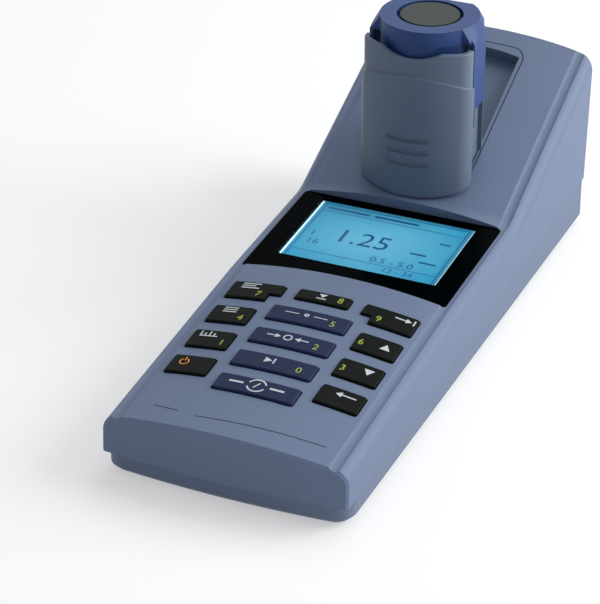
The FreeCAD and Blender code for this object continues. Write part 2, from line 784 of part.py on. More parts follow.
def shaft_insert(envelope):
    top_skin = insert_layer(envelope, 0, 0, INSERT_THICKNESS + INSERT_LIP_THICKNESS)
    lip_drop = (WALL + WINDOW_FIT) / math.cos(math.radians(REAR_SLOPE))
    lip = insert_layer(envelope, INSERT_LIP, lip_drop, INSERT_LIP_THICKNESS)
    lip = lip.common(box(-HALF_WIDTH, HALF_WIDTH, WINDOW_BACK + LEDGE + INSERT_GAP, BACK, 0, SECTION_DEPTH))
    outer = SHAFT_RADIUS + SHAFT_WALL
    tube = rod(outer, Vector(0, SHAFT_Y, SHAFT_FLOOR - SHAFT_WALL), Vector(0, SHAFT_Y, SECTION_DEPTH))
    tube = tube.common(envelope)
    bowl = trough(TROUGH_WALL)
    bowl_skin = bowl.common(envelope).common(prism(insert_outline(0), 0, SECTION_DEPTH))
    bowl_root = bowl.common(lowered(envelope, lip_drop))
    brackets = [sensor_bracket(side) for side in (-1, 1)]
    body = fused([top_skin, lip, bowl_skin, bowl_root, tube] + brackets)
    body = body.cut(trough(0).cut(tube))
    bore = rod(SHAFT_RADIUS, Vector(0, SHAFT_Y, SHAFT_FLOOR), Vector(0, SHAFT_Y, SECTION_DEPTH))
    beam = rod(BEAM_RADIUS, Vector(-HALF_WIDTH, SHAFT_Y, BEAM_HEIGHT),
               Vector(HALF_WIDTH, SHAFT_Y, BEAM_HEIGHT))
    for cutter in [bore, beam] + guide_grooves():
        body = body.cut(cutter)
    return body


def sensor_bracket(side):
    x_low, x_high = sorted((0, side * (SHAFT_RADIUS + SHAFT_WALL + SENSOR_STANDOFF)))
    low = BEAM_HEIGHT - SENSOR_BOARD_HEIGHT / 2
    high = BEAM_HEIGHT + SENSOR_BOARD_HEIGHT / 2
    half = BRACKET_THICKNESS / 2
    ribs = []
    for y in (SHAFT_Y - SENSOR_BOARD_LENGTH / 3, SHAFT_Y + SENSOR_BOARD_LENGTH / 3):
        ribs.append(box(x_low, x_high, y - half, y + half, low, high))
    return Part.makeCompound(ribs)


def sensor_board(side):
    start = side * (SHAFT_RADIUS + SHAFT_WALL + SENSOR_STANDOFF)
    end = start + side * BOARD_THICKNESS
    half = SENSOR_BOARD_LENGTH / 2
    return box(min(start, end), max(start, end), SHAFT_Y - half, SHAFT_Y + half,
               BEAM_HEIGHT - SENSOR_BOARD_HEIGHT / 2, BEAM_HEIGHT + SENSOR_BOARD_HEIGHT / 2)


def beam_lenses():
    lenses = []
    for side in (-1, 1):
        start = Vector(side * (SHAFT_RADIUS + SHAFT_WALL - LENS_THICKNESS), SHAFT_Y, BEAM_HEIGHT)
        end = Vector(side * (SHAFT_RADIUS + SHAFT_WALL), SHAFT_Y, BEAM_HEIGHT)
        lenses.append(rod(BEAM_RADIUS, start, end))
    return Part.makeCompound(lenses)


def lamp_leds():
    board_face = -(SHAFT_RADIUS + SHAFT_WALL + SENSOR_STANDOFF)
    lamps = []
    for number in range(LED_COUNT):
        angle = 2 * math.pi * number / LED_COUNT
        y = SHAFT_Y + LED_RING * math.cos(angle)
        z = BEAM_HEIGHT + LED_RING * math.sin(angle)
        lamps.append(rod(LED_RADIUS, Vector(board_face, y, z), Vector(board_face + LED_LENGTH, y, z)))
    return Part.makeCompound(lamps)


def photodiode():
    face = SHAFT_RADIUS + SHAFT_WALL + SENSOR_STANDOFF
    return rod(PHOTODIODE_RADIUS, Vector(face - PHOTODIODE_LENGTH, SHAFT_Y, BEAM_HEIGHT),
               Vector(face, SHAFT_Y, BEAM_HEIGHT))


# Plan of the hood front: a flat arc, two round corners and straight sides back to a plane
def hood_front_plan(inset, back):
    half = HOOD_HALF_WIDTH - inset
    corner = HOOD_CORNER - inset
    front = HOOD_FRONT + inset
    radius = HOOD_FRONT_RADIUS - inset
    centre = Vector(0, front + radius, 0)
    corner_x = half - corner
    corner_y = centre.y - math.sqrt((radius - corner) ** 2 - corner_x ** 2)
    lean = math.atan2(corner_x, centre.y - corner_y)
    middle = (lean + math.pi / 2) / 2

    def corner_point(side, angle):
        return Vector(side * (corner_x + corner * math.sin(angle)), corner_y - corner * math.cos(angle), 0)

    left = [corner_point(-1, angle) for angle in (math.pi / 2, middle, lean)]
    right = [corner_point(1, angle) for angle in (lean, middle, math.pi / 2)]
    back_right, back_left = Vector(half, back, 0), Vector(-half, back, 0)
    return Part.Wire([
        Part.Arc(*left).toShape(),
        Part.Arc(left[2], Vector(0, front, 0), right[0]).toShape(),
        Part.Arc(*right).toShape(),
        Part.LineSegment(right[2], back_right).toShape(),
        Part.LineSegment(back_right, back_left).toShape(),
        Part.LineSegment(back_left, left[0]).toShape(),
    ])


def above_slope(gap):
    block = box(-WIDTH, WIDTH, -LENGTH, LENGTH, 0, LENGTH)
    block.rotate(ORIGIN, AXIS_X, REAR_SLOPE)
    block.translate(Vector(0, BROW, BROW_HEIGHT + gap))
    return block


# The lower part of the hood front stands proud up to an arched step line
def below_step():
    start = Vector(0, HOOD_FRONT - RUN_OUT, 0)
    end = Vector(0, HOOD_SIDE_END + RUN_OUT, 0)
    limit = rod(STEP_RADIUS, start, end)
    limit.rotate(Vector(0, HOOD_FRONT, 0), AXIS_X, -STEP_TILT)
    lift = STEP_HEIGHT - STEP_RADIUS / math.cos(math.radians(STEP_TILT))
    limit.translate(Vector(0, 0, lift))
    return limit


def hood_shell():
    back = HOOD_SIDE_END
    skin = prism(hood_front_plan(HOOD_STEP, back), 0, HOOD_RIM)
    step = prism(hood_front_plan(0, back), 0, STEP_HEIGHT).common(below_step())
    hollow = prism(hood_front_plan(HOOD_STEP + HOOD_WALL, back + 1), -1, HOOD_RIM + 1)
    shell = fused([skin, step]).cut(hollow).common(above_slope(HOOD_SLOPE_GAP))
    return shell.cut(rim_scoop()).cut(grip_cutters())


def rim_scoop():
    radius = (SCOOP_HALF_WIDTH ** 2 + SCOOP_DEPTH ** 2) / (2 * SCOOP_DEPTH)
    centre_z = HOOD_RIM - SCOOP_DEPTH + radius
    return rod(radius, Vector(0, HOOD_FRONT - 1, centre_z), Vector(0, HOOD_SIDE_END - 1, centre_z))


def grip_cutters():
    grips = []
    radius = HOOD_FRONT_RADIUS
    for number in range(GRIP_COUNT):
        height = GRIP_FIRST + number * GRIP_PITCH
        ring = Part.makeTorus(radius, GRIP_RADIUS, Vector(0, HOOD_FRONT + radius, height), AXIS_Z)
        span = box(-GRIP_HALF_WIDTH, GRIP_HALF_WIDTH, HOOD_FRONT - 1, HOOD_SIDE_END,
                   height - 1, height + 1)
        grips.append(ring.common(span))
    return Part.makeCompound(grips)


# Sleeve behind the hood front: outer plan with its back corners cut off, and the plan of its inside
def sleeve_outer(front):
    return mirrored_polygon([
        (SLEEVE_HALF_WIDTH, front), (SLEEVE_HALF_WIDTH, SLEEVE_SIDE_END),
        (SLEEVE_SHOULDER_X, SLEEVE_SHOULDER_Y), (SLEEVE_BACK_HALF, SLEEVE_BACK),
    ])


def sleeve_inner(gap, front):
    half = SLEEVE_INNER - gap
    back = SLEEVE_BACK - SLEEVE_BACK_WALL - gap
    back_half = SLEEVE_BACK_HALF - (SLEEVE_SHOULDER_X - SLEEVE_INNER) - gap
    return mirrored_polygon([(half, front), (half, SLEEVE_SHOULDER_Y), (back_half, back)])


def hood_sleeve():
    sleeve = prism(sleeve_outer(SLEEVE_FRONT), 0, SLEEVE_TOP)
    uprights = [edge for edge in sleeve.Edges if is_upright(edge) and edge.BoundBox.YMin > ARM_BACK]
    sleeve = sleeve.makeFillet(SLEEVE_CORNER, uprights)
    sleeve = sleeve.cut(prism(sleeve_inner(0, SLEEVE_FRONT - 1), 0, SECTION_DEPTH))
    inside_shell = prism(hood_front_plan(HOOD_STEP + HOOD_WALL, HOOD_SIDE_END), 0, SECTION_DEPTH)
    behind_shell = box(-HALF_WIDTH, HALF_WIDTH, HOOD_SIDE_END, SLEEVE_BACK + 1, 0, SECTION_DEPTH)
    sleeve = sleeve.common(fused([inside_shell, behind_shell])).common(above_slope(HOOD_SLOPE_GAP))
    reach = SLEEVE_HALF_WIDTH + 1
    for side in (-1, 1):
        channel = sorted((side * (ARM_INNER - RUN_GAP), side * reach))
        sleeve = sleeve.cut(box(*channel, HOOD_SIDE_END, ARM_BACK + RUN_GAP, 0, SECTION_DEPTH))
        slot = sorted((side * (SLEEVE_INNER - 1), side * reach))
        slot_low = ARM_BOTTOM + LUG_RISE - SLIDER_TRAVEL - RUN_GAP
        slot_high = ARM_BOTTOM + LUG_RISE + LUG_HEIGHT + RUN_GAP
        sleeve = sleeve.cut(box(*slot, LUG_FRONT - RUN_GAP, LUG_BACK + RUN_GAP, slot_low, slot_high))
    sleeve = fused([sleeve] + hood_runners())
    for pin in guide_pin_rods():
        sleeve = sleeve.cut(pin)
    return sleeve


def hood_runners():
    middle = runner_middle()
    runners = []
    for side in (-1, 1):
        x_low, x_high = sorted((side * RUNNER_INNER, side * RUNNER_OUTER))
        runner = box(x_low, x_high, middle - RUNNER_LENGTH / 2, middle + RUNNER_LENGTH / 2,
                     -RUNNER_DEPTH, HOOD_SLOPE_GAP + RUNNER_RISE)
        runners.append(on_slope(runner))
    return runners


def guide_pin_rods():
    pins = []
    for side in (-1, 1):
        start = Vector(side * (RUNNER_INNER + RUN_GAP), runner_middle(), -GUIDE_PIN_DEPTH)
        end = Vector(side * GUIDE_PIN_REACH, runner_middle(), -GUIDE_PIN_DEPTH)
        pins.append(on_slope(rod(GUIDE_PIN_RADIUS, start, end)))
    return pins


# Slider: a crowned cap with a skirt inside the sleeve and two arms down its sides
def slider():
    low = SLIDER_EDGE - SLIDER_FLANGE
    centre = Vector(0, SHAFT_Y, low)
    round_top = Part.makeCylinder(SLIDER_RADIUS, SLIDER_TOP - low, centre)
    back_plan = mirrored_polygon([
        (SLIDER_HALF_WIDTH, SLIDER_FRONT), (SLIDER_HALF_WIDTH, SLEEVE_SIDE_END),
        (SLEEVE_SHOULDER_X, SLEEVE_SHOULDER_Y), (SLEEVE_BACK_HALF, SLEEVE_BACK),
    ])
    in_plan = box(-HALF_WIDTH, HALF_WIDTH, HOOD_FRONT, SLEEVE_BACK, 0, LENGTH)
    flange = fused([round_top.common(in_plan), prism(back_plan, low, SLIDER_TOP)])
    arms = []
    for side in (-1, 1):
        arm = sorted((side * ARM_INNER, side * ARM_OUTER))
        arms.append(box(*arm, ARM_FRONT, ARM_BACK, ARM_BOTTOM, SLIDER_TOP))
        root = sorted((side * (SLIDER_RADIUS - SKIRT_WALL), side * ARM_OUTER))
        arms.append(box(*root, ARM_FRONT, ARM_BACK, low, SLIDER_TOP))
        lug = sorted((side * (SLEEVE_INNER + RUN_GAP), side * ARM_OUTER))
        lug_low = ARM_BOTTOM + LUG_RISE
        arms.append(box(*lug, LUG_FRONT, LUG_BACK, lug_low, lug_low + LUG_HEIGHT))
    body = fused([flange] + arms).common(top_cone())
    body = fused([body, skirt(low)])
    hollow = rod(DISC_RADIUS + DISC_GAP, Vector(0, SHAFT_Y, SLIDER_TOP - DISC_THICKNESS),
                 Vector(0, SHAFT_Y, SLIDER_TOP + 1))
    return body.cut(hollow)


# The cap's edge falls away from the round top to the side corners
def top_cone():
    run = ARM_OUTER - SLIDER_RADIUS
    rise = SLIDER_TOP - SLIDER_EDGE
    spread = SLIDER_TOP - ARM_BOTTOM
    low_radius = SLIDER_RADIUS + run * spread / rise
    return Part.makeCone(low_radius, SLIDER_RADIUS, spread, Vector(0, SHAFT_Y, ARM_BOTTOM), AXIS_Z)


def skirt(top):
    outer = skirt_block(RUN_GAP, top)
    return outer.cut(skirt_block(RUN_GAP + SKIRT_WALL, top))


# Round in front of the shaft line, and the plan of the sleeve's inside behind it
def skirt_block(gap, top):
    half = SLEEVE_INNER - gap
    drum = Part.makeCylinder(SLIDER_RADIUS - gap, top - SKIRT_BOTTOM, Vector(0, SHAFT_Y, SKIRT_BOTTOM))
    front_part = drum.common(box(-half, half, HOOD_FRONT, SHAFT_Y, SKIRT_BOTTOM, top))
    back_part = prism(sleeve_inner(gap, SHAFT_Y), SKIRT_BOTTOM, top)
    return fused([front_part, back_part])


def cap_disc():
    low = SLIDER_TOP - DISC_THICKNESS
    return rod(DISC_RADIUS, Vector(0, SHAFT_Y, low), Vector(0, SHAFT_Y, SLIDER_TOP - WINDOW_FIT))


# Housings
def lower_outline(inset):
    radius = (HALF_WIDTH ** 2 + FRONT_BULGE ** 2) / (2 * FRONT_BULGE)
    half = HALF_WIDTH - inset
    front = FRONT + CHIN_STEP + inset
    side_y = front + radius - math.sqrt(radius ** 2 - half ** 2)
    back = BACK - LOWER_BACK_STEP - inset
    left, right = Vector(-half, side_y, 0), Vector(half, side_y, 0)
    back_right, back_left = Vector(half, back, 0), Vector(-half, back, 0)
    wire = Part.Wire([
        Part.Arc(left, Vector(0, front, 0), right).toShape(),
        Part.LineSegment(right, back_right).toShape(),
        Part.LineSegment(back_right, back_left).toShape(),
        Part.LineSegment(back_left, left).toShape(),
    ])
    return wire


def lower_block(inset, z_low, z_high):
    block = prism(lower_outline(inset), z_low, z_high)
    front_edges = [edge for edge in block.Edges if is_upright(edge) and edge.BoundBox.YMax < 0]
    block = block.makeFillet(LOWER_CORNER - inset, front_edges)
    back_edges = [edge for edge in block.Edges if is_upright(edge) and edge.BoundBox.YMin > 0]
    return block.makeFillet(LOWER_EDGE, back_edges)


def recess_depth():
    return BAY_COVER_THICKNESS + 2 * RUN_GAP


def lower_housing():
    height = seam_height(BACK) + 2 * WALL
    block = lower_block(0, BOTTOM, height)
    base_edges = [edge for edge in block.Edges if edge.BoundBox.ZMax < BOTTOM + 1e-4]
    block = block.makeChamfer(BASE_EDGE, base_edges)
    reach = COVER_HALF_WIDTH + RAIL_TONGUE + RUN_GAP + WALL
    bay_floor = box(-reach, reach, BAY_COVER_FRONT - RUN_GAP - WALL, BACK, BOTTOM, bay_floor_top())
    shell = block.cut(lower_block(WALL, BOTTOM + WALL, height + 1).cut(bay_floor))
    posts = board_feet()
    for x, y in screw_places():
        posts.append(rod(POST_RADIUS, Vector(x, y, BOTTOM), Vector(x, y, height)))
    inside = lower_block(0, BOTTOM, height)
    shell = fused([shell] + posts).common(inside)
    shell = shell.common(below_seam())
    shell = shell.cut(seal_ring())
    for x, y in screw_places():
        shell = shell.cut(rod(SCREW_RADIUS + SCREW_FIT, Vector(x, y, 0), Vector(x, y, height)))
        seat = Vector(x, y, screw_seat(y))
        shell = shell.cut(rod(SCREW_HEAD_RADIUS + WINDOW_FIT, Vector(x, y, 0), seat))
    shell = shell.cut(cover_channel())
    shell = shell.cut(bay_opening())
    return shell


def cover_channel():
    run = box(-COVER_HALF_WIDTH - RUN_GAP, COVER_HALF_WIDTH + RUN_GAP, BAY_COVER_FRONT - RUN_GAP,
              BACK + 1, 0, BOTTOM + recess_depth())
    tongue_low = BOTTOM + RUN_GAP + (BAY_COVER_THICKNESS - RAIL_HEIGHT)
    reach = COVER_HALF_WIDTH + RAIL_TONGUE + RUN_GAP
    groove = box(-reach, reach, BAY_COVER_FRONT - RUN_GAP, BACK + 1, tongue_low - RUN_GAP,
                 BOTTOM + recess_depth())
    return fused([run, groove])


def bay_half_width():
    return CELL_LENGTH / 2 + CONTACT_SPRING + CONTACT_THICKNESS + BAY_FIT


def bay_ends():
    low = CELL_FIRST_Y - CELL_RADIUS - BAY_FIT
    high = CELL_FIRST_Y + (CELL_COUNT - 1) * CELL_PITCH + CELL_RADIUS + BAY_FIT
    return low, high


def bay_opening():
    low, high = bay_ends()
    half = bay_half_width()
    return box(-half, half, low, high, 0, bay_floor_top() + 1)


def bay_floor_top():
    return BOTTOM + recess_depth() + FLOOR_THICKNESS


def cell_height():
    return BOTTOM + recess_depth() + BAY_FIT + CELL_RADIUS


def battery_holder():
    low, high = bay_ends()
    half = bay_half_width()
    base = bay_floor_top()
    top = cell_height() + CELL_RADIUS + BAY_FIT
    outer = box(-half - BAY_WALL, half + BAY_WALL, low - BAY_WALL, high + BAY_WALL, base, top + BAY_WALL)
    return outer.cut(box(-half, half, low, high, base - 1, top))


def battery_cells():
    cells = []
    for number in range(CELL_COUNT):
        y = CELL_FIRST_Y + number * CELL_PITCH
        side = 1 if number % 2 else -1
        nub = CONTACT_THICKNESS * 3
        start = Vector(-side * CELL_LENGTH / 2, y, cell_height())
        end = Vector(side * (CELL_LENGTH / 2 - nub), y, cell_height())
        body = rod(CELL_RADIUS, start, end)
        tip = rod(CELL_RADIUS / 3, end, Vector(side * CELL_LENGTH / 2, y, cell_height()))
        cells.append(fused([body, tip]))
    return Part.makeCompound(cells)


def contact_leaf(side, inner, outer, y, half):
    x_low, x_high = sorted((side * inner, side * outer))
    return box(x_low, x_high, y - half, y + half, cell_height() - half, cell_height() + half)


def battery_contacts():
    contacts = []
    wall = bay_half_width()
    plate_face = wall - CONTACT_THICKNESS
    tip = CELL_LENGTH / 2 + BAY_FIT / 2
    for number in range(CELL_COUNT):
        y = CELL_FIRST_Y + number * CELL_PITCH
        for side in (-1, 1):
            plate = contact_leaf(side, plate_face, wall, y, CONTACT_HALF)
            spring = contact_leaf(side, tip, plate_face, y, CONTACT_HALF / 2)
            contacts.append(fused([plate, spring]))
    return Part.makeCompound(contacts)


def battery_cover():
    back = BAY_COVER_FRONT + BAY_COVER_LENGTH
    low = BOTTOM + RUN_GAP
    plate = box(-COVER_HALF_WIDTH, COVER_HALF_WIDTH, BAY_COVER_FRONT, back, low, low + BAY_COVER_THICKNESS)
    reach = COVER_HALF_WIDTH + RAIL_TONGUE
    tongue = box(-reach, reach, BAY_COVER_FRONT, back, low + BAY_COVER_THICKNESS - RAIL_HEIGHT,
                 low + BAY_COVER_THICKNESS)
    grips = []
    for number in range(GRIP_COUNT):
        y = back - GRIP_PITCH * (number + 1.5)
        grips.append(rod(GRIP_RADIUS, Vector(-GRIP_HALF_WIDTH, y, low), Vector(GRIP_HALF_WIDTH, y, low)))
    return fused([plate, tongue]).cut(Part.makeCompound(grips))


def screw_places():
    places = []
    for y in (SCREW_FRONT_Y, SCREW_BACK_Y):
        for x in (-SCREW_X, SCREW_X):
            places.append((x, y))
    return places


def screw_seat(y):
    return seam_height(y) - SCREW_SEAT


def housing_screws():
    screws = []
    for x, y in screw_places():
        shoulder = screw_seat(y)
        head_low = shoulder - SCREW_HEAD_HEIGHT
        head = rod(SCREW_HEAD_RADIUS, Vector(x, y, head_low), Vector(x, y, shoulder))
        shank = rod(SCREW_RADIUS, Vector(x, y, head_low), Vector(x, y, shoulder + SCREW_LENGTH))
        screws.append(fused([head, shank]))
    return Part.makeCompound(screws)


def feet():
    pads = []
    for y in (FOOT_FRONT_Y, FOOT_BACK_Y):
        for x in (-FOOT_X, FOOT_X):
            pad = rod(FOOT_RADIUS, Vector(x, y, 0), Vector(x, y, BOTTOM))
            rim = [edge for edge in pad.Edges if edge.BoundBox.ZMax < 1e-4]
            pads.append(pad.makeChamfer(FOOT_EDGE, rim))
    return Part.makeCompound(pads)


def seal_ring():
    height = seam_height(BACK) + 2 * WALL
    ring = lower_block(SEAL_INSET, BOTTOM, height).cut(lower_block(SEAL_INSET + SEAL_WIDTH, 0, height + 1))
    return ring.common(below_seam()).cut(below_seam(-SEAL_HEIGHT))


def socket_shape(x, radius):
    face = socket_face()
    reach = radius + SOCKET_FLANGE
    flange = box(x - reach, x + reach, face - WALL - SOCKET_FLANGE, face - WALL,
                 SOCKET_Z - reach, SOCKET_Z + reach)
    barrel = rod(radius, Vector(x, face - SOCKET_DEPTH, SOCKET_Z), Vector(x, face, SOCKET_Z))
    return fused([flange, barrel])


def socket_face():
    lean = slope_rise(END_LEAN, BACK_HEIGHT - SOCKET_Z)
    return BACK - lean - POWER_PIN_RADIUS


def power_socket():
    face = socket_face()
    x = POWER_SOCKET_X
    bore_start = Vector(x, face - SOCKET_DEPTH + SOCKET_FLANGE, SOCKET_Z)
    mouth = Vector(x, face + 1, SOCKET_Z)
    shell = socket_shape(x, POWER_SOCKET_RADIUS).cut(rod(POWER_BORE_RADIUS, bore_start, mouth))
    pin = rod(POWER_PIN_RADIUS, bore_start, Vector(x, face - SOCKET_FLANGE, SOCKET_Z))
    return fused([shell, pin])


def data_socket():
    face = socket_face()
    x = DATA_SOCKET_X
    recess = rod(DATA_SOCKET_RADIUS - SOCKET_FLANGE, Vector(x, face - SOCKET_DEPTH / 2, SOCKET_Z),
                 Vector(x, face + 1, SOCKET_Z))
    core = rod(DATA_SOCKET_RADIUS / 2, Vector(x, face - SOCKET_DEPTH / 2, SOCKET_Z),
               Vector(x, face - SOCKET_FLANGE, SOCKET_Z))
    return fused([socket_shape(x, DATA_SOCKET_RADIUS).cut(recess), core])


def main_board():
    low = bay_floor_top() + BOARD_LIFT
    return box(-MAIN_BOARD_HALF, MAIN_BOARD_HALF, MAIN_BOARD_FRONT, main_board_back(),
               low, low + BOARD_THICKNESS)


def main_board_back():
    return bay_ends()[0] - BAY_WALL - BOARD_LIFT


def board_feet():
    posts = []
    for x in (-MAIN_BOARD_HALF + STEM_HALF, MAIN_BOARD_HALF - STEM_HALF):
        for y in (MAIN_BOARD_FRONT + STEM_HALF, main_board_back() - STEM_HALF):
            posts.append(square_post(x, y, BOTTOM, bay_floor_top() + BOARD_LIFT))
    return posts


def upper_housing(envelope):
    rounded = envelope.makeChamfer(FRONT_EDGE, end_edges(envelope, FRONT - 1, FRONT + 8))
    rounded = rounded.makeChamfer(BACK_EDGE, end_edges(rounded, BACK - 8, BACK + 1))
    for cutter in crease_cutter():
        rounded = rounded.cut(cutter)
    cavity = along_top(housing_section(WALL)).common(leaning_ends(WALL))
    shell = rounded.cut(cavity)
    tub = window_tub().common(rounded)
    posts = []
    for x, y in screw_places():
        posts.append(rod(POST_RADIUS, Vector(x, y, 0), Vector(x, y, SECTION_DEPTH)))
    posts += [post.cut(keypad_board()) for post in keypad_posts()]
    posts = [post.common(rounded) for post in posts]
    shell = fused([shell, tub] + posts)
    shell = shell.cut(below_seam())
    cuts = [window_pocket(), lcd_aperture()]
    cuts += [key_opening(name) for name in key_places()]
    cuts.append(prism(insert_outline(INSERT_GAP), 0, SECTION_DEPTH))
    for x, y in screw_places():
        top = screw_seat(y) + SCREW_LENGTH + 1
        cuts.append(rod(SCREW_RADIUS + SCREW_FIT, Vector(x, y, 0), Vector(x, y, top)))
    face = socket_face()
    for x, radius in ((POWER_SOCKET_X, POWER_SOCKET_RADIUS), (DATA_SOCKET_X, DATA_SOCKET_RADIUS)):
        cuts.append(rod(radius + WINDOW_FIT, Vector(x, face - SOCKET_DEPTH, SOCKET_Z),
                        Vector(x, BACK + 1, SOCKET_Z)))
    for cutter in cuts:
        shell = shell.cut(cutter)
    return shell


def main():
    envelope = housing_envelope(0)
    parts = {
        "upper_housing": upper_housing(envelope),
        "lower_housing": lower_housing(),
        "housing_seal": seal_ring(),
        "display_bezel": display_bezel(),
        "display_pane": display_pane(),
        "lcd_panel": lcd_panel(),
        "display_board": display_board(),
        "keypad_board": keypad_board(),
        "dome_switches": dome_switches(),
        "main_board": main_board(),
        "shaft_insert": shaft_insert(envelope),
        "beam_lenses": beam_lenses(),
        "lamp_board": sensor_board(-1),
        "lamp_leds": lamp_leds(),
        "detector_board": sensor_board(1),
        "photodiode": photodiode(),
        "guide_pins": Part.makeCompound(guide_pin_rods()),
        "hood_shell": hood_shell(),
        "hood_sleeve": hood_sleeve(),
        "slider": slider(),
        "cap_disc": cap_disc(),
        "battery_holder": battery_holder(),
        "battery_cells": battery_cells(),
        "battery_contacts": battery_contacts(),
        "battery_cover": battery_cover(),
        "housing_screws": housing_screws(),
        "feet": feet(),
        "data_socket": data_socket(),
        "power_socket": power_socket(),
    }
    for name in key_places():
        parts[name] = key(name)
    os.makedirs("parts", exist_ok=True)
    for name, shape in parts.items():
        shape.exportStep("parts/" + name + ".step")


main()
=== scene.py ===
import json
import math
import bmesh
import bpy
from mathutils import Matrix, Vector
from mathutils.bvhtree import BVHTree

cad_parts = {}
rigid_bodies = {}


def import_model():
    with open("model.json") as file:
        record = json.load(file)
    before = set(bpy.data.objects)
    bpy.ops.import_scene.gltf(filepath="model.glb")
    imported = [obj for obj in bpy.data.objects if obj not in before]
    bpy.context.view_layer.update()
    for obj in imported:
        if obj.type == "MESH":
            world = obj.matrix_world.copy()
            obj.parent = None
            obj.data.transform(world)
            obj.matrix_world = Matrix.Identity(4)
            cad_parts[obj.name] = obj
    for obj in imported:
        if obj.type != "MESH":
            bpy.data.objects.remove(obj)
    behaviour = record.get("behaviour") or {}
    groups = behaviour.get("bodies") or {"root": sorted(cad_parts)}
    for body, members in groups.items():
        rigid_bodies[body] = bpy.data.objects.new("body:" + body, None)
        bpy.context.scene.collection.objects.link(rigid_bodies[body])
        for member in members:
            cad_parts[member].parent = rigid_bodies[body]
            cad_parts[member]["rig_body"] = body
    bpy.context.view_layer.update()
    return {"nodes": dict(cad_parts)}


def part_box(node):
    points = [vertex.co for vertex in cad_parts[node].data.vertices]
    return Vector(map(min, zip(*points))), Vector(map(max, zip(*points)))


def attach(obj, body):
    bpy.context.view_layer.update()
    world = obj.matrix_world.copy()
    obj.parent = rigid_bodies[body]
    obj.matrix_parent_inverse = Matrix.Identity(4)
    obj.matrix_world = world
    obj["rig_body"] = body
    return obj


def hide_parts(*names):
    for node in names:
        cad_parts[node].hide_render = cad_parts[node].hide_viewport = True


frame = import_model()
nodes = frame["nodes"]
scene = bpy.context.scene

# Studio: a pale floor without an edge in view, an even pale room and two soft lamps, a broad one
# low on the right, which makes that side the brightest, and a faint one high at the back.
scene.view_settings.view_transform = "Standard"
CLEAR_WHITE = (1.0, 1.0, 1.0, 1.0)


def linked(name, data):
    """An object made from a mesh, a curve, a lamp or a camera, and put in the scene."""
    piece = bpy.data.objects.new(name, data)
    scene.collection.objects.link(piece)
    return piece


def new_material(name):
    """A new material, with its nodes and its shader."""
    material = bpy.data.materials.new(name)
    material.use_nodes = True
    return material, material.node_tree, material.node_tree.nodes["Principled BSDF"]


def reckoned(tree, operation, *terms):
    """What a sum on numbers and sockets gives."""
    node = tree.nodes.new("ShaderNodeMath")
    node.operation = operation
    for place, term in enumerate(terms):
        if isinstance(term, float):
            node.inputs[place].default_value = term
        else:
            tree.links.new(term, node.inputs[place])
    return node.outputs[0]


def blended(tree, share, first, second):
    """A colour between two others, by the share."""
    mix = tree.nodes.new("ShaderNodeMix")
    mix.data_type = "RGBA"
    mix.inputs[6].default_value = first
    mix.inputs[7].default_value = second
    tree.links.new(share, mix.inputs[0])
    return mix.outputs[2]


def white_to_the_eye(tree, shader, white):
    """The shader for the light on the object, and the white one for the camera, metal and glass."""
    path = tree.nodes.new("ShaderNodeLightPath")
    seen = reckoned(tree, "MAXIMUM", path.outputs["Is Camera Ray"], path.outputs["Is Transmission Ray"])
    either = reckoned(tree, "MAXIMUM", seen, path.outputs["Is Glossy Ray"])
    mix = tree.nodes.new("ShaderNodeMixShader")
    tree.links.new(either, mix.inputs[0])
    tree.links.new(shader, mix.inputs[1])
    tree.links.new(white, mix.inputs[2])
    return mix.outputs[0]


ROOM_COLOUR = (0.90, 0.95, 1.0, 1.0)
ROOM_STRENGTH = 0.43
world = bpy.data.worlds.new("pale_room")
world.use_nodes = True
scene.world = world
room = world.node_tree
room.nodes.clear()


def even_light(colour, strength):
    """The same light from every side of the room."""
    light = room.nodes.new("ShaderNodeBackground")
    light.inputs["Color"].default_value = colour
    light.inputs["Strength"].default_value = strength
    return light.outputs[0]


room_light = even_light(ROOM_COLOUR, ROOM_STRENGTH)
room_white = even_light(CLEAR_WHITE, 1.0)
room_out = room.nodes.new("ShaderNodeOutputWorld")
room.links.new(white_to_the_eye(room, room_light, room_white), room_out.inputs["Surface"])

FLOOR_HALF = 6.0
FLOOR_TOP = -0.0001
PAPER_DULL = (0.93, 0.93, 0.93, 1.0)
PAPER_BRIGHT = (0.96, 0.96, 0.96, 1.0)
PAPER_OWN_WHITE = 0.45
floor_mesh = bpy.data.meshes.new("floor")
floor_corners = [(side_x * FLOOR_HALF, side_y * FLOOR_HALF, FLOOR_TOP)
                 for side_x, side_y in ((-1, -1), (1, -1), (1, 1), (-1, 1))]
floor_mesh.from_pydata(floor_corners, [], [(0, 1, 2, 3)])
floor = linked("floor", floor_mesh)
floor_paper, paper, paper_shader = new_material("floor_paper")
paper_noise = paper.nodes.new("ShaderNodeTexNoise")
paper_noise.inputs["Scale"].default_value = 6.0
paper_tone = blended(paper, paper_noise.outputs["Fac"], PAPER_DULL, PAPER_BRIGHT)
paper.links.new(paper_tone, paper_shader.inputs["Base Color"])
paper_shader.inputs["Roughness"].default_value = 0.9
paper_shader.inputs["Specular IOR Level"].default_value = 0.0
paper_white = paper.nodes.new("ShaderNodeEmission")
paper_white.inputs["Color"].default_value = CLEAR_WHITE
half_lit = paper.nodes.new("ShaderNodeMixShader")
half_lit.inputs[0].default_value = PAPER_OWN_WHITE
paper.links.new(paper_shader.outputs[0], half_lit.inputs[1])
paper.links.new(paper_white.outputs[0], half_lit.inputs[2])
paper_out = paper.nodes["Material Output"]
paper.links.new(white_to_the_eye(paper, paper_shader.outputs[0], half_lit.outputs[0]),
                paper_out.inputs["Surface"])
floor_mesh.materials.append(floor_paper)


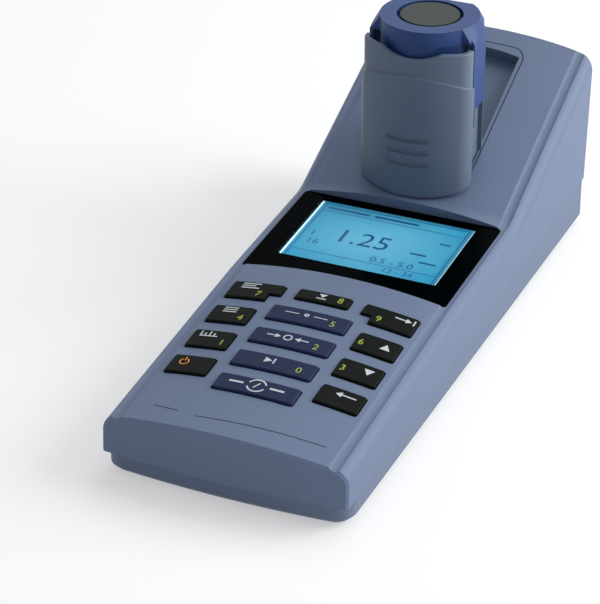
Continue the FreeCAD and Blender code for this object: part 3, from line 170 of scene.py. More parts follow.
def soft_lamp(name, place, aim, size, watts, colour):
    """A round soft lamp at its place, turned to its aim, in metres."""
    lamp_data = bpy.data.lights.new(name, "AREA")
    lamp_data.shape = "DISK"
    lamp_data.size = size
    lamp_data.energy = watts
    lamp_data.color = colour
    lamp = linked(name, lamp_data)
    lamp.location = place
    lamp.rotation_euler = (Vector(aim) - Vector(place)).to_track_quat("-Z", "Y").to_euler()


soft_lamp("key_lamp", place=(1.00, 0.42, 0.62), aim=(0.0, 0.03, 0.04), size=1.0, watts=17.5,
          colour=(1.0, 0.99, 0.97))
soft_lamp("top_lamp", place=(0.1, 0.9, 1.5), aim=(0.0, 0.0, 0.03), size=1.4, watts=8.0,
          colour=(0.97, 0.985, 1.0))

eye = Vector((0.28618, -0.70357, 0.44268))
aim_point = Vector((-0.00819, -0.03721, 0.03008))
camera_data = bpy.data.cameras.new("camera")
camera_data.lens = 149.0
camera_data.sensor_width = 36.0
camera_data.clip_start = 0.01
camera = linked("camera", camera_data)
camera.location = eye
camera.rotation_euler = (aim_point - eye).to_track_quat("-Z", "Y").to_euler()
scene.camera = camera


# Upper housing: one thin-walled moulding in blue-grey plastic with a fine spark-eroded grain.
# Its crowned top rises from the keypad to the display and then steeply to the cell end; a thin
# printed rule crosses the keypad end.
MM = 0.001


def linear(red, green, blue):
    """A colour in screen values, 0 to 255, as the light values that a shader takes."""
    return tuple((value / 255) ** 2.2 for value in (red, green, blue)) + (1.0,)


def own_place(tree):
    """Where a point is on the piece."""
    return tree.nodes.new("ShaderNodeTexCoord").outputs["Object"]


def cloudy(tree, place, scale, detail=2.0):
    """Soft noise over the place; its scale is a number or a socket."""
    noise = tree.nodes.new("ShaderNodeTexNoise")
    noise.inputs["Detail"].default_value = detail
    tree.links.new(place, noise.inputs["Vector"])
    if isinstance(scale, float):
        noise.inputs["Scale"].default_value = scale
    else:
        tree.links.new(scale, noise.inputs["Scale"])
    return noise.outputs["Fac"]


def between(tree, share, low, high):
    """A value that runs from low to high as the share runs from 0 to 1."""
    span = tree.nodes.new("ShaderNodeMapRange")
    span.inputs["To Min"].default_value = low
    span.inputs["To Max"].default_value = high
    tree.links.new(share, span.inputs["Value"])
    return span.outputs["Result"]


def tinted(tree, colour, level):
    """The colour made lighter or darker by the level."""
    shade = tree.nodes.new("ShaderNodeVectorMath")
    shade.operation = "SCALE"
    tree.links.new(colour, shade.inputs[0])
    tree.links.new(level, shade.inputs["Scale"])
    return shade.outputs[0]


def surface_group(name, numbers):
    """A shader group that takes a colour and some numbers, and gives colour, roughness and height."""
    group = bpy.data.node_groups.new(name, "ShaderNodeTree")
    face = group.interface
    face.new_socket(name="Colour", in_out="INPUT", socket_type="NodeSocketColor")
    for title, value in numbers:
        face.new_socket(name=title, in_out="INPUT", socket_type="NodeSocketFloat").default_value = value
    face.new_socket(name="Colour", in_out="OUTPUT", socket_type="NodeSocketColor")
    for title in ("Roughness", "Height"):
        face.new_socket(name=title, in_out="OUTPUT", socket_type="NodeSocketFloat")
    return group


def moulded_surface():
    """Moulded plastic: a cloudy colour, a fine grain, and scuffs that are paler and smoother."""
    group = surface_group("moulded surface", (("Spread", 0.06), ("Grain Scale", 2500.0),
                                              ("Roughness", 0.5), ("Scuffs", 0.3)))
    join = group.links.new
    given = group.nodes.new("NodeGroupInput").outputs
    result = group.nodes.new("NodeGroupOutput").inputs
    place = own_place(group)
    cloud = cloudy(group, place, 22.0, 4.0)
    grain = cloudy(group, place, given["Grain Scale"])
    stretch = group.nodes.new("ShaderNodeMapping")
    stretch.inputs["Rotation"].default_value = (0.3, 0.2, 0.7)
    stretch.inputs["Scale"].default_value = (1.0, 14.0, 14.0)
    join(place, stretch.inputs["Vector"])
    scratch = group.nodes.new("ShaderNodeMapRange")
    scratch.inputs["From Min"].default_value = 0.66
    scratch.inputs["From Max"].default_value = 0.78
    join(cloudy(group, stretch.outputs["Vector"], 70.0, 3.0), scratch.inputs["Value"])
    scuff = reckoned(group, "MULTIPLY", scratch.outputs["Result"], given["Scuffs"])
    swing = between(group, cloud, -1.0, 1.0)
    share = reckoned(group, "MULTIPLY", swing, given["Spread"])
    level = reckoned(group, "ADD", share, between(group, grain, 0.94, 1.06))
    worn = group.nodes.new("ShaderNodeMix")
    worn.data_type = "RGBA"
    worn.inputs[7].default_value = (0.55, 0.58, 0.62, 1.0)
    join(scuff, worn.inputs[0])
    join(tinted(group, given["Colour"], level), worn.inputs[6])
    join(worn.outputs[2], result["Colour"])
    sheen = reckoned(group, "MULTIPLY_ADD", swing, 0.07, given["Roughness"])
    join(reckoned(group, "MULTIPLY_ADD", scuff, -0.5, sheen), result["Roughness"])
    join(grain, result["Height"])
    return group


def relief_on(tree, shader, height, strength, depth):
    """The height as a raised grain of that depth, in metres, on the shader."""
    relief = tree.nodes.new("ShaderNodeBump")
    relief.inputs["Strength"].default_value = strength
    relief.inputs["Distance"].default_value = depth
    tree.links.new(height, relief.inputs["Height"])
    tree.links.new(relief.outputs["Normal"], shader.inputs["Normal"])


def dressed(name, group, values, strength, depth):
    """A material that takes its colour, roughness and relief from a surface group."""
    material, tree, shader = new_material(name)
    surface = tree.nodes.new("ShaderNodeGroup")
    surface.node_tree = group
    for title, value in values.items():
        surface.inputs[title].default_value = value
    tree.links.new(surface.outputs["Colour"], shader.inputs["Base Color"])
    tree.links.new(surface.outputs["Roughness"], shader.inputs["Roughness"])
    relief_on(tree, shader, surface.outputs["Height"], strength, depth)
    return material, shader


moulded = moulded_surface()


def moulding(name, colour, roughness, spread=0.05, grain=2500.0, scuffs=0.03, depth=0.00004,
             specular=0.35):
    """A moulded plastic of that colour."""
    values = {"Colour": colour, "Spread": spread, "Grain Scale": grain, "Roughness": roughness,
              "Scuffs": scuffs}
    material, shader = dressed(name, moulded, values, 0.35, depth)
    shader.inputs["Specular IOR Level"].default_value = specular
    return material


def settled(piece):
    """The piece with its modifiers worked into its mesh."""
    bpy.context.view_layer.update()
    graph = bpy.context.evaluated_depsgraph_get()
    mesh = bpy.data.meshes.new_from_object(piece.evaluated_get(graph))
    piece.modifiers.clear()
    piece.data = mesh


WELD = 2e-6
FLAT_WITHIN = math.radians(0.4)
SHARP_FROM = math.radians(28)


def shaded_round(mesh, sharp_from):
    """Smooth shading, with edges sharper than the angle kept crisp."""
    mesh.polygons.foreach_set("use_smooth", [True] * len(mesh.polygons))
    mesh.set_sharp_from_angle(angle=sharp_from)


def finished(node, material, soften=0.0, cutter=None):
    """The node's solid with its facets joined, its edges broken by `soften` metres and shaded round."""
    mesh = nodes[node].data.copy()
    if "custom_normal" in mesh.attributes:
        mesh.attributes.remove(mesh.attributes["custom_normal"])
    work = bmesh.new()
    work.from_mesh(mesh)
    bmesh.ops.remove_doubles(work, verts=work.verts, dist=WELD)
    if soften:
        bmesh.ops.dissolve_limit(work, angle_limit=FLAT_WITHIN, use_dissolve_boundaries=False,
                                 verts=work.verts, edges=work.edges)
    work.to_mesh(mesh)
    work.free()
    mesh.materials.clear()
    mesh.materials.append(material)
    piece = linked(node + "_finish", mesh)
    shaded_round(mesh, SHARP_FROM)
    if cutter:
        cut = piece.modifiers.new("cut out", "BOOLEAN")
        cut.operation = "DIFFERENCE"
        cut.solver = "EXACT"
        cut.object = cutter
    if soften:
        rounding = piece.modifiers.new("broken edges", "BEVEL")
        rounding.width = soften
        rounding.segments = 3
        rounding.limit_method = "ANGLE"
        rounding.angle_limit = SHARP_FROM
        rounding.use_clamp_overlap = True
        rounding.harden_normals = True
    weights = piece.modifiers.new("even shading", "WEIGHTED_NORMAL")
    weights.keep_sharp = True
    settled(piece)
    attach(piece, nodes[node]["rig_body"])
    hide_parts(node)
    return piece


housing_plastic = moulding("housing_plastic", linear(94, 108, 135), 0.52)
upper = finished("upper_housing", housing_plastic)


def tree_of(piece):
    """The piece's faces, ready for a look along a line."""
    work = bmesh.new()
    work.from_mesh(piece.data)
    found = BVHTree.FromBMesh(work)
    work.free()
    return found


def print_ink(name, colour, painted_glow=0.0):
    """Thin matt ink, which may have a painted glow in its own colour."""
    material = moulding(name, colour, 0.45, spread=0.03, grain=4000.0, scuffs=0.05, specular=0.3)
    if painted_glow:
        shader = material.node_tree.nodes["Principled BSDF"]
        shader.inputs["Emission Color"].default_value = colour
        shader.inputs["Emission Strength"].default_value = painted_glow
    return material


PRINT_LIFT = 0.03 * MM
ABOVE_ALL = 0.2
DOWNWARDS = Vector((0, 0, -1))


def printed(name, shapes, ground, body, materials):
    """Flat shapes drawn from above, in millimetres, each laid on the ground under it as thin ink."""
    found = tree_of(ground)
    work = bmesh.new()
    for points, ink in shapes:
        corners = []
        for x, y in points:
            spot, normal, _, _ = found.ray_cast(Vector((x * MM, y * MM, ABOVE_ALL)), DOWNWARDS)
            corners.append(work.verts.new(spot + normal * PRINT_LIFT))
        plate = work.faces.new(corners)
        plate.material_index = ink
        plate.normal_update()
        if plate.normal.z < 0:
            plate.normal_flip()
    mesh = bpy.data.meshes.new(name)
    work.to_mesh(mesh)
    work.free()
    for material in materials:
        mesh.materials.append(material)
    piece = linked(name, mesh)
    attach(piece, body)


def stroke(x_1, y_1, x_2, y_2, width, steps=1):
    """A straight line of ink as a row of four-cornered pieces."""
    along = Vector((x_2 - x_1, y_2 - y_1))
    across = Vector((-along.y, along.x)).normalized() * width / 2
    shapes = []
    for step in range(steps):
        start = Vector((x_1, y_1)) + along * step / steps
        end = Vector((x_1, y_1)) + along * (step + 1) / steps
        shapes.append([start - across, end - across, end + across, start + across])
    return shapes


RULE_WIDTH = 0.45
rule_ink = print_ink("rule_ink", linear(34, 40, 52))
rule = stroke(-28.2, -106.8, -18.9, -108.2, RULE_WIDTH, 4)
rule += stroke(-12.2, -109.4, 31.5, -106.9, RULE_WIDTH, 14)
printed("front_rule", [(points, 0) for points in rule], upper, "housing", [rule_ink])

# Lower housing: a shallow tray in a slightly greyer cast of the same plastic, screwed up from
# beneath, with a battery cover that slides in from the cell end; a soft black seal runs round in
# the joint and shows as a dark line at the keypad end.
COVER_EDGE = 0.00015
base_plastic = moulding("base_plastic", linear(94, 107, 130), 0.55)
finished("lower_housing", base_plastic)
finished("battery_cover", base_plastic, COVER_EDGE)
seal_rubber = moulding("seal_rubber", linear(20, 22, 24), 0.75, grain=900.0)
finished("housing_seal", seal_rubber)

# Display: a gloss black frame flush in a flat pocket, a clear pane in it and a liquid crystal panel
# behind with a painted glow, which shows plain numbers and bars in dark blue.
BEZEL_EDGE = 0.0002
bezel_gloss = moulding("bezel_gloss", linear(4, 10, 12), 0.22, spread=0.1, grain=900.0, scuffs=0.0,
                       depth=0.00001, specular=0.03)
bezel_gloss.node_tree.nodes["Principled BSDF"].inputs["IOR"].default_value = 1.2
finished("display_bezel", bezel_gloss, BEZEL_EDGE)

pane_clear, pane_tree, pane_shader = new_material("pane_clear")
pane_shader.inputs["Transmission Weight"].default_value = 1.0
pane_shader.inputs["IOR"].default_value = 1.02
pane_shader.inputs["Specular IOR Level"].default_value = 0.2
pane_haze = cloudy(pane_tree, own_place(pane_tree), 60.0)
pane_tree.links.new(between(pane_tree, pane_haze, 0.0, 0.05), pane_shader.inputs["Roughness"])
pane_tint = blended(pane_tree, pane_haze, (0.95, 0.985, 0.985, 1.0), CLEAR_WHITE)
pane_tree.links.new(pane_tint, pane_shader.inputs["Base Color"])
finished("display_pane", pane_clear)

# Painted glow: the panel's colour is also its emission, standing in for the lamp light that the pane keeps
# off.
lcd_lit, lcd_tree, lcd_shader = new_material("lcd_lit")
lcd_place = own_place(lcd_tree)
lcd_centre = lcd_tree.nodes.new("ShaderNodeMapping")
lcd_centre.inputs["Location"].default_value = (0.0, -0.42, 0.0)
lcd_centre.inputs["Scale"].default_value = (30.0, 37.0, 0.0)
lcd_tree.links.new(lcd_place, lcd_centre.inputs["Vector"])
# Painted pool of light: a round gradient makes the panel brighter towards its middle.
lcd_painted_bright_middle = lcd_tree.nodes.new("ShaderNodeTexGradient")
lcd_painted_bright_middle.gradient_type = "SPHERICAL"
lcd_tree.links.new(lcd_centre.outputs["Vector"], lcd_painted_bright_middle.inputs["Vector"])
lcd_cloud = cloudy(lcd_tree, lcd_place, 160.0)
lcd_tone_and_painted_glow = reckoned(lcd_tree, "MULTIPLY_ADD", lcd_cloud, 0.12, lcd_painted_bright_middle.outputs["Fac"])
lcd_blue = blended(lcd_tree, lcd_tone_and_painted_glow, linear(40, 120, 152), linear(84, 146, 172))
lcd_tree.links.new(lcd_blue, lcd_shader.inputs["Base Color"])
lcd_tree.links.new(lcd_blue, lcd_shader.inputs["Emission Color"])
lcd_shader.inputs["Emission Strength"].default_value = 0.38
lcd_shader.inputs["Roughness"].default_value = 0.4
lcd_shader.inputs["Specular IOR Level"].default_value = 0.1
lcd = finished("lcd_panel", lcd_lit)


def text_outline(figures, height):
    """The flat pieces of a row of figures, centred, of that height in millimetres."""
    curve = bpy.data.curves.new("figures", "FONT")
    curve.body = figures
    curve.align_x = "CENTER"
    curve.resolution_u = 3
    holder = linked("figures", curve)
    bpy.context.view_layer.update()
    mesh = bpy.data.meshes.new_from_object(holder.evaluated_get(bpy.context.evaluated_depsgraph_get()))
    bpy.data.objects.remove(holder)
    tops = [corner.co.y for corner in mesh.vertices]
    scale = height / (max(tops) - min(tops))
    base = min(tops)
    shapes = []
    for face in mesh.polygons:
        points = [mesh.vertices[index].co for index in face.vertices]
        shapes.append([Vector((point.x * scale, (point.y - base) * scale)) for point in points])
    bpy.data.meshes.remove(mesh)
    return shapes


def moved(shapes, x, y, ink=0):
    """The shapes moved by x and y, each with the number of its ink."""
    return [([Vector((x, y)) + Vector(point) for point in points], ink) for points in shapes]


lcd_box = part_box("lcd_panel")
LCD_HALF = (lcd_box[1][0] - lcd_box[0][0]) / 2 / MM
LCD_NEAR = lcd_box[0][1] / MM
LCD_FAR = lcd_box[1][1] / MM
LCD_LEFT = -LCD_HALF + 4.6
LCD_RIGHT = LCD_HALF - 4.6
LCD_TOP = LCD_FAR - 4.0
LCD_FOOT = LCD_NEAR + 4.4
HEAD_RULE = LCD_FAR - 8.6
FOOT_RULE = LCD_NEAR + 9.2
HEAD_BARS = LCD_FAR - 6.4
BORDER_X = LCD_HALF - 2.9
LCD_DARK = 0
LCD_PALE = 1
# The dark figures glow a little and the pale border strips strongly: painted glow, like the panel under
# them.
lcd_dark = print_ink("lcd_figures", linear(14, 74, 116), painted_glow=0.12)
lcd_pale = print_ink("lcd_border", linear(196, 230, 240), painted_glow=0.6)
reading = []
for figures, height, x, above in (
        ("1.25", 8.6, -5.5, 18.6),
        ("16", 3.4, -LCD_HALF + 10.0, 14.2),
        ("0.5 - 5.0", 3.4, 9.5, 10.4),
        ("1", 3.4, -LCD_HALF + 8.0, 19.4),
        ("12 - 34", 2.8, 13.5, 5.4)):
    reading += moved(text_outline(figures, height), x, LCD_NEAR + above, LCD_DARK)
for x_1, y_1, x_2, y_2, width in (
        (LCD_LEFT, HEAD_RULE, LCD_RIGHT, HEAD_RULE, 0.35),
        (LCD_LEFT, FOOT_RULE, LCD_RIGHT, FOOT_RULE, 0.35),
        (LCD_LEFT, LCD_TOP, LCD_RIGHT, LCD_TOP, 0.35),
        (LCD_LEFT, LCD_FOOT, LCD_LEFT, LCD_TOP, 0.4),
        (LCD_RIGHT, LCD_FOOT, LCD_RIGHT, LCD_TOP, 0.4),
        (-LCD_HALF + 6.0, HEAD_BARS, -LCD_HALF + 22.0, HEAD_BARS, 1.3),
        (-LCD_HALF + 24.0, HEAD_BARS, -LCD_HALF + 41.0, HEAD_BARS, 1.3),
        (13.0, LCD_NEAR + 20.6, 19.0, LCD_NEAR + 20.6, 1.1),
        (20.5, LCD_NEAR + 30.2, 24.5, LCD_NEAR + 30.2, 1.1),
        (18.0, LCD_NEAR + 16.0, 24.5, LCD_NEAR + 16.0, 1.1)):
    reading += [(points, LCD_DARK) for points in stroke(x_1, y_1, x_2, y_2, width)]
for side in (-1, 1):
    border = stroke(side * BORDER_X, LCD_NEAR + 3.0, side * BORDER_X, LCD_FAR - 2.8, 0.7)
    reading += [(points, LCD_PALE) for points in border]
printed("lcd_reading", reading, lcd, "housing", [lcd_dark, lcd_pale])

# Keypad: thirteen hard caps, black-green down the sides and indigo in the middle, each pressed
# down on its own guide stem; plain signs and numbers are printed on them in thin ink.
KEY_EDGE = 0.00022
INDIGO_KEYS = ("key_start", "key_0", "key_2", "key_5")
key_dark = moulding("key_dark", linear(14, 19, 16), 0.50, spread=0.08, grain=3000.0, scuffs=0.02,
                    specular=0.06)
key_indigo = moulding("key_indigo", linear(34, 42, 70), 0.50, spread=0.06, grain=3000.0, scuffs=0.02,
                      specular=0.10)
sign_white = print_ink("sign_white", linear(186, 194, 198))
sign_yellow = print_ink("sign_yellow", linear(150, 168, 52))
sign_orange = print_ink("sign_orange", linear(236, 142, 42))
SIGN_INKS = [sign_white, sign_yellow, sign_orange]
WHITE = 0
YELLOW = 1
ORANGE = 2


def arc(radius, width, start, end, steps=24):
    """Part of a ring of ink round the middle, from one angle to another in degrees."""
    shapes = []
    for step in range(steps):
        corners = []
        for turn, reach in ((step, -1), (step + 1, -1), (step + 1, 1), (step, 1)):
            angle = math.radians(start + (end - start) * turn / steps)
            size = radius + reach * width / 2
            corners.append(Vector((size * math.cos(angle), size * math.sin(angle))))
        shapes.append(corners)
    return shapes


def filled(*corners):
    """One flat shape from its corners."""
    return [[Vector(corner) for corner in corners]]


def wedge(width, height):
    """A filled triangle, point upwards, or downwards for a negative height."""
    return filled((-width / 2, 0), (width / 2, 0), (0, height))


def key_middle(name):
    """The middle of the key from above, in millimetres."""
    low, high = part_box(name)
    return Vector(((low[0] + high[0]) / 2 / MM, (low[1] + high[1]) / 2 / MM))


# The signs on each key with their place from its middle; a corner key's box has its middle
# shifted by the part that reaches round the corner.
CORNER_SHIFT = 2.15
SIGNS = {
    "key_power": [(arc(1.5, 0.42, 120, 420) + stroke(0, 0.6, 0, 2.5, 0.42), -3.0, 0.6)],
    "key_1": [(stroke(-1.0, 0, -1.0, 2.6, 0.55) + stroke(0.6, 0, 0.6, 1.7, 0.55)
               + stroke(2.2, 0, 2.2, 2.6, 0.55) + stroke(-1.3, 0, 5.2, 0, 0.55)
               + stroke(3.8, 0, 3.8, 1.7, 0.55), -3.8, 0.9)],
    "key_4": [(stroke(-1.2, 0.0, 3.8, 0.0, 0.5) + stroke(-1.2, 1.2, 3.8, 1.2, 0.5)
               + stroke(-1.2, 2.4, 3.8, 2.4, 0.5), -2.6, 0.8)],
    "key_7": [(stroke(-1.2, 0.0, 5.4, 0.0, 0.55) + stroke(-1.2, 1.25, 3.8, 1.25, 0.55)
               + stroke(-1.2, 2.5, 5.4, 2.5, 0.55), -2.8 - CORNER_SHIFT, 0.8)],
    "key_8": [(wedge(3.0, -1.9), -0.4, 1.3),
              (stroke(-2.0, -1.3, 1.4, -1.3, 0.5), -0.2, 0.0)],
    "key_5": [(stroke(-8.2, 0, -3.0, 0, 0.35, 3) + stroke(2.0, 0, 7.0, 0, 0.35, 3), -0.6, 0.6),
              (arc(0.62, 0.5, 0, 360, 16), -1.0, 0.6)],
    "key_2": [(arc(1.35, 0.5, 0, 360)
               + stroke(-7.4, 0, -4.2, 0, 0.5, 2) + stroke(4.2, 0, 7.4, 0, 0.5, 2)
               + filled((-4.4, 1.1), (-4.4, -1.1), (-2.4, 0))
               + filled((4.4, -1.1), (4.4, 1.1), (2.4, 0)), -1.6, 0.4)],
    "key_0": [(filled((-1.4, -1.4), (1.2, 0), (-1.4, 1.4))
               + stroke(1.9, -1.4, 1.9, 1.4, 0.55), -2.2, 0.5)],
    "key_start": [(arc(3.05, 0.6, 20, 160) + arc(3.05, 0.6, 200, 340), -0.1, 0.1),
                  (stroke(-0.7, -1.4, 0.7, 1.4, 0.5) + stroke(-9.6, 0, -4.6, 0, 0.9, 3)
                   + stroke(4.6, 0, 9.6, 0, 0.9, 3), -0.1, 0.2)],
    "key_9": [(stroke(-2.6, 0, 1.6, 0, 0.55) + filled((1.3, -1.2), (3.4, 0), (1.3, 1.2))
               + stroke(4.2, -1.4, 4.2, 1.4, 0.55), 2.6 + CORNER_SHIFT, 1.6)],
    "key_up": [(wedge(3.6, 3.0), 3.4, -1.2)],
    "key_down": [(wedge(3.6, -3.0), 3.4, 2.2)],
    "key_back": [(stroke(-2.0, 0, 3.2, 0, 0.55)
                  + filled((-1.8, 1.3), (-3.9, 0), (-1.8, -1.3)), 2.2, 1.4)],
}
NUMBER_HEIGHT = 2.9
NUMBERS = {
    "key_7": ("7", 3.6 - CORNER_SHIFT, -3.6), "key_8": ("8", 6.2, -1.6),
    "key_9": ("9", -4.6 + CORNER_SHIFT, -3.3), "key_4": ("4", 3.9, -3.4), "key_5": ("5", 8.9, -2.4),
    "key_up": ("6", -4.9, -2.2), "key_1": ("1", 4.3, -3.4), "key_2": ("2", 8.9, -2.4),
    "key_down": ("3", -4.9, -2.2), "key_0": ("0", 8.9, -2.4),
}


def sign_shapes(name):
    """What is printed on a key, in millimetres from the key's middle."""
    ink = ORANGE if name == "key_power" else WHITE
    shapes = []
    for sign, x, y in SIGNS[name]:
        shapes += moved(sign, x, y, ink)
    if name in NUMBERS:
        number, x, y = NUMBERS[name]
        shapes += moved(text_outline(number, NUMBER_HEIGHT), x, y, YELLOW)
    return shapes


def block(name, points, low, high):
    """An upright block in millimetres over a plan; low and high give its heights at a point."""
    work = bmesh.new()
    under = [work.verts.new(Vector((x, y, low(x, y))) * MM) for x, y in points]
    over = [work.verts.new(Vector((x, y, high(x, y))) * MM) for x, y in points]
    work.faces.new(under)
    work.faces.new(over)
    for step in range(len(points)):
        after = (step + 1) % len(points)
        work.faces.new((under[step], under[after], over[after], over[step]))
    bmesh.ops.recalc_face_normals(work, faces=work.faces)
    mesh = bpy.data.meshes.new(name)
    work.to_mesh(mesh)
    work.free()
    return linked(name, mesh)


CROWN_RADIUS = 205.0
KEYPAD_SLOPE = math.radians(5.0)
KEYPAD_LOW = 25.2
FRONT_END = 118.0


def keypad_top(x, y):
    """Height of the crowned top round the keypad."""
    crown = CROWN_RADIUS - math.sqrt(CROWN_RADIUS ** 2 - x ** 2)
    return KEYPAD_LOW + (y + FRONT_END) * math.tan(KEYPAD_SLOPE) - crown


CORNER_X = 18.7
CORNER_Y = -39.12
NOTCH_LENGTH = 8
NOTCH_WIDTH = 7
NOTCH_DEPTH = 2.4
NOTCH_MIDDLE = 17
CLEAR_HEIGHT = 40.0
WEB_GAP = 0.3
WEB_LENGTH = 4.402
WEB_WIDTH = 4.116
WEB_THICKNESS = 2.2
corner_cutters = {}
for name, side in (("key_7", -1), ("key_9", 1)):
    plan = [(side * CORNER_X, CORNER_Y - NOTCH_WIDTH),
            (side * (CORNER_X - NOTCH_LENGTH), CORNER_Y - NOTCH_WIDTH),
            (side * (CORNER_X - NOTCH_LENGTH), CORNER_Y),
            (side * CORNER_X, CORNER_Y)]
    corner_cutters[name] = block("corner_cutter", plan,
                                 lambda x, y: keypad_top(side * NOTCH_MIDDLE, y) - NOTCH_DEPTH,
                                 lambda x, y: CLEAR_HEIGHT)
    web_plan = [(side * (CORNER_X - WEB_GAP), CORNER_Y - WEB_WIDTH),
                (side * (CORNER_X - WEB_LENGTH), CORNER_Y - WEB_GAP),
                (side * (CORNER_X - WEB_GAP), CORNER_Y - WEB_GAP)]
    web = block("keypad_web_" + name, web_plan, lambda x, y: keypad_top(x, y) - WEB_THICKNESS, keypad_top)
    web.data.materials.append(housing_plastic)
    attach(web, "housing")

for name in nodes:
    if name.startswith("key_"):
        finish = key_indigo if name in INDIGO_KEYS else key_dark
        cap = finished(name, finish, KEY_EDGE, cutter=corner_cutters.get(name))
        middle = key_middle(name)
        signs = [([middle + point for point in points], ink) for points, ink in sign_shapes(name)]
        printed("sign_on_" + name, signs, cap, name, SIGN_INKS)
for cutter in corner_cutters.values():
    bpy.data.objects.remove(cutter)

# Shaft insert: a separate moulding let into the rear slope, with the cell shaft, the trough in
# which the hood is pushed back and the guide grooves in the trough's side walls.
insert_plastic = moulding("insert_plastic", linear(90, 105, 130), 0.5)
finished("shaft_insert", insert_plastic)

# Hood: a front shell with an arched step, a scooped rim and three pressed grip lines, fixed to a
# sleeve that carries the slider; a pair of steel pins guides both along the trough.
hood_plastic = moulding("hood_plastic", linear(88, 101, 120), 0.46)
HOOD_HALF = 20.8
HOOD_FRONT = 36.2
HOOD_BACK = 47.8
HOOD_RIM = 92.3
HOOD_WALL = 1.8
HOOD_COLUMNS = 38
FRONT_RADIUS = 33.0
CORNER_RADIUS = 6.5


def hood_plan():
    """Points along the hood's outside, back edge to back edge, each with its outward direction."""
    corner_x = HOOD_HALF - CORNER_RADIUS
    centre_y = HOOD_FRONT + FRONT_RADIUS
    corner_y = centre_y - math.sqrt((FRONT_RADIUS - CORNER_RADIUS) ** 2 - corner_x ** 2)
    lean = math.atan2(corner_x, centre_y - corner_y)
    right = []
    for step in range(HOOD_COLUMNS + 1):
        angle = lean * step / HOOD_COLUMNS
        right.append((FRONT_RADIUS * math.sin(angle), centre_y - FRONT_RADIUS * math.cos(angle), angle))
    for step in range(1, HOOD_COLUMNS + 1):
        angle = lean + (math.pi / 2 - lean) * step / HOOD_COLUMNS
        right.append((corner_x + CORNER_RADIUS * math.sin(angle),
                      corner_y - CORNER_RADIUS * math.cos(angle), angle))
    right.append((HOOD_HALF, HOOD_BACK, math.pi / 2))
    left = [(-x, y, -angle) for x, y, angle in reversed(right[1:])]
    return [(x, y, math.sin(angle), -math.cos(angle)) for x, y, angle in left + right]


SCOOP_HALF = 11.5
SCOOP_DEPTH = 2.7


def hood_rim(x):
    """Height of the rim: level, with a round scoop in the middle."""
    radius = (SCOOP_HALF ** 2 + SCOOP_DEPTH ** 2) / (2 * SCOOP_DEPTH)
    if abs(x) >= SCOOP_HALF:
        return HOOD_RIM
    return HOOD_RIM - SCOOP_DEPTH + radius - math.sqrt(radius ** 2 - x ** 2)


REAR_SLOPE = math.radians(23.2)
FOOT_HEIGHT = 37.42
FOOT_FROM = 37.0


def hood_foot(y):
    """Height of the lower edge: it follows the rear slope with an even gap."""
    return FOOT_HEIGHT + (y - FOOT_FROM) * math.tan(REAR_SLOPE)


STEP_TOP = 83.3
STEP_DEPTH = 0.75
STEP_RUN = 0.55
STEP_TILT = math.radians(14.0)
ARCH_RADIUS = 90.0


def step_line(x, y):
    """Height of the arched step, which also falls away towards the back."""
    arch = (ARCH_RADIUS - math.sqrt(ARCH_RADIUS ** 2 - x ** 2)) / math.cos(STEP_TILT)
    return STEP_TOP - arch - (y - HOOD_FRONT) * math.tan(STEP_TILT)


def eased(value):
    """A slow start and a slow end on the way from 0 to 1."""
    value = min(max(value, 0.0), 1.0)
    return value * value * (3 - 2 * value)


GRIP_HEIGHTS = (49.8, 54.5, 59.2)
GRIP_HALF_LENGTH = 8.2
GRIP_HALF_WIDTH = 0.75
GRIP_DEPTH = 1.0
GRIP_RUN = 1.2
EDGE_ROUND = 0.45


def hood_relief(x, y, z, foot, rim):
    """How far the outside lies behind the outermost plan: step, grip lines and rounded edges."""
    depth = STEP_DEPTH * eased((z - step_line(x, y)) / STEP_RUN)
    for grip in GRIP_HEIGHTS:
        across = abs(z - grip) / GRIP_HALF_WIDTH
        along = (GRIP_HALF_LENGTH - abs(x)) / GRIP_RUN
        if across < 1 and along > 0:
            depth += GRIP_DEPTH * math.sqrt(1 - across ** 2) * eased(along)
    for gap in (rim - z, z - foot):
        if gap < EDGE_ROUND:
            depth += EDGE_ROUND - math.sqrt(max(EDGE_ROUND ** 2 - (EDGE_ROUND - gap) ** 2, 0.0))
    return depth


GRIPS_FROM = 48.6
GRIPS_SPAN = 11.8
GRIPS_TO = 60.4
STEP_BELOW = 0.7
STEP_SPAN = 1.9


def even_rows(low, span, count):
    """Heights at even steps over the span, without its lower end."""
    return [low + span * number / count for number in range(1, count + 1)]


def hood_heights(foot, rim, step):
    """Rows up the wall, closest together at the edges, the grip lines and the step."""
    rows = [foot + EDGE_ROUND * part for part in (0.0, 0.08, 0.3, 0.6, 1.0)]
    rows += even_rows(rows[-1], GRIPS_FROM - rows[-1], 8)
    rows += even_rows(GRIPS_FROM, GRIPS_SPAN, 65)
    rows += even_rows(GRIPS_TO, step - STEP_BELOW - GRIPS_TO, 20)
    rows += even_rows(step - STEP_BELOW, STEP_SPAN, 20)
    rows += even_rows(rows[-1], rim - EDGE_ROUND - rows[-1], 8)
    rows += [rim - EDGE_ROUND * part for part in (0.6, 0.3, 0.08, 0.0)]
    return rows


BACK_EDGE_FROM = 47.7
RIM_LIP = 0.4
FOOT_LIP = 1.6
FOOT_GAP = 0.05
SHELL_SHARP_FROM = math.radians(50)


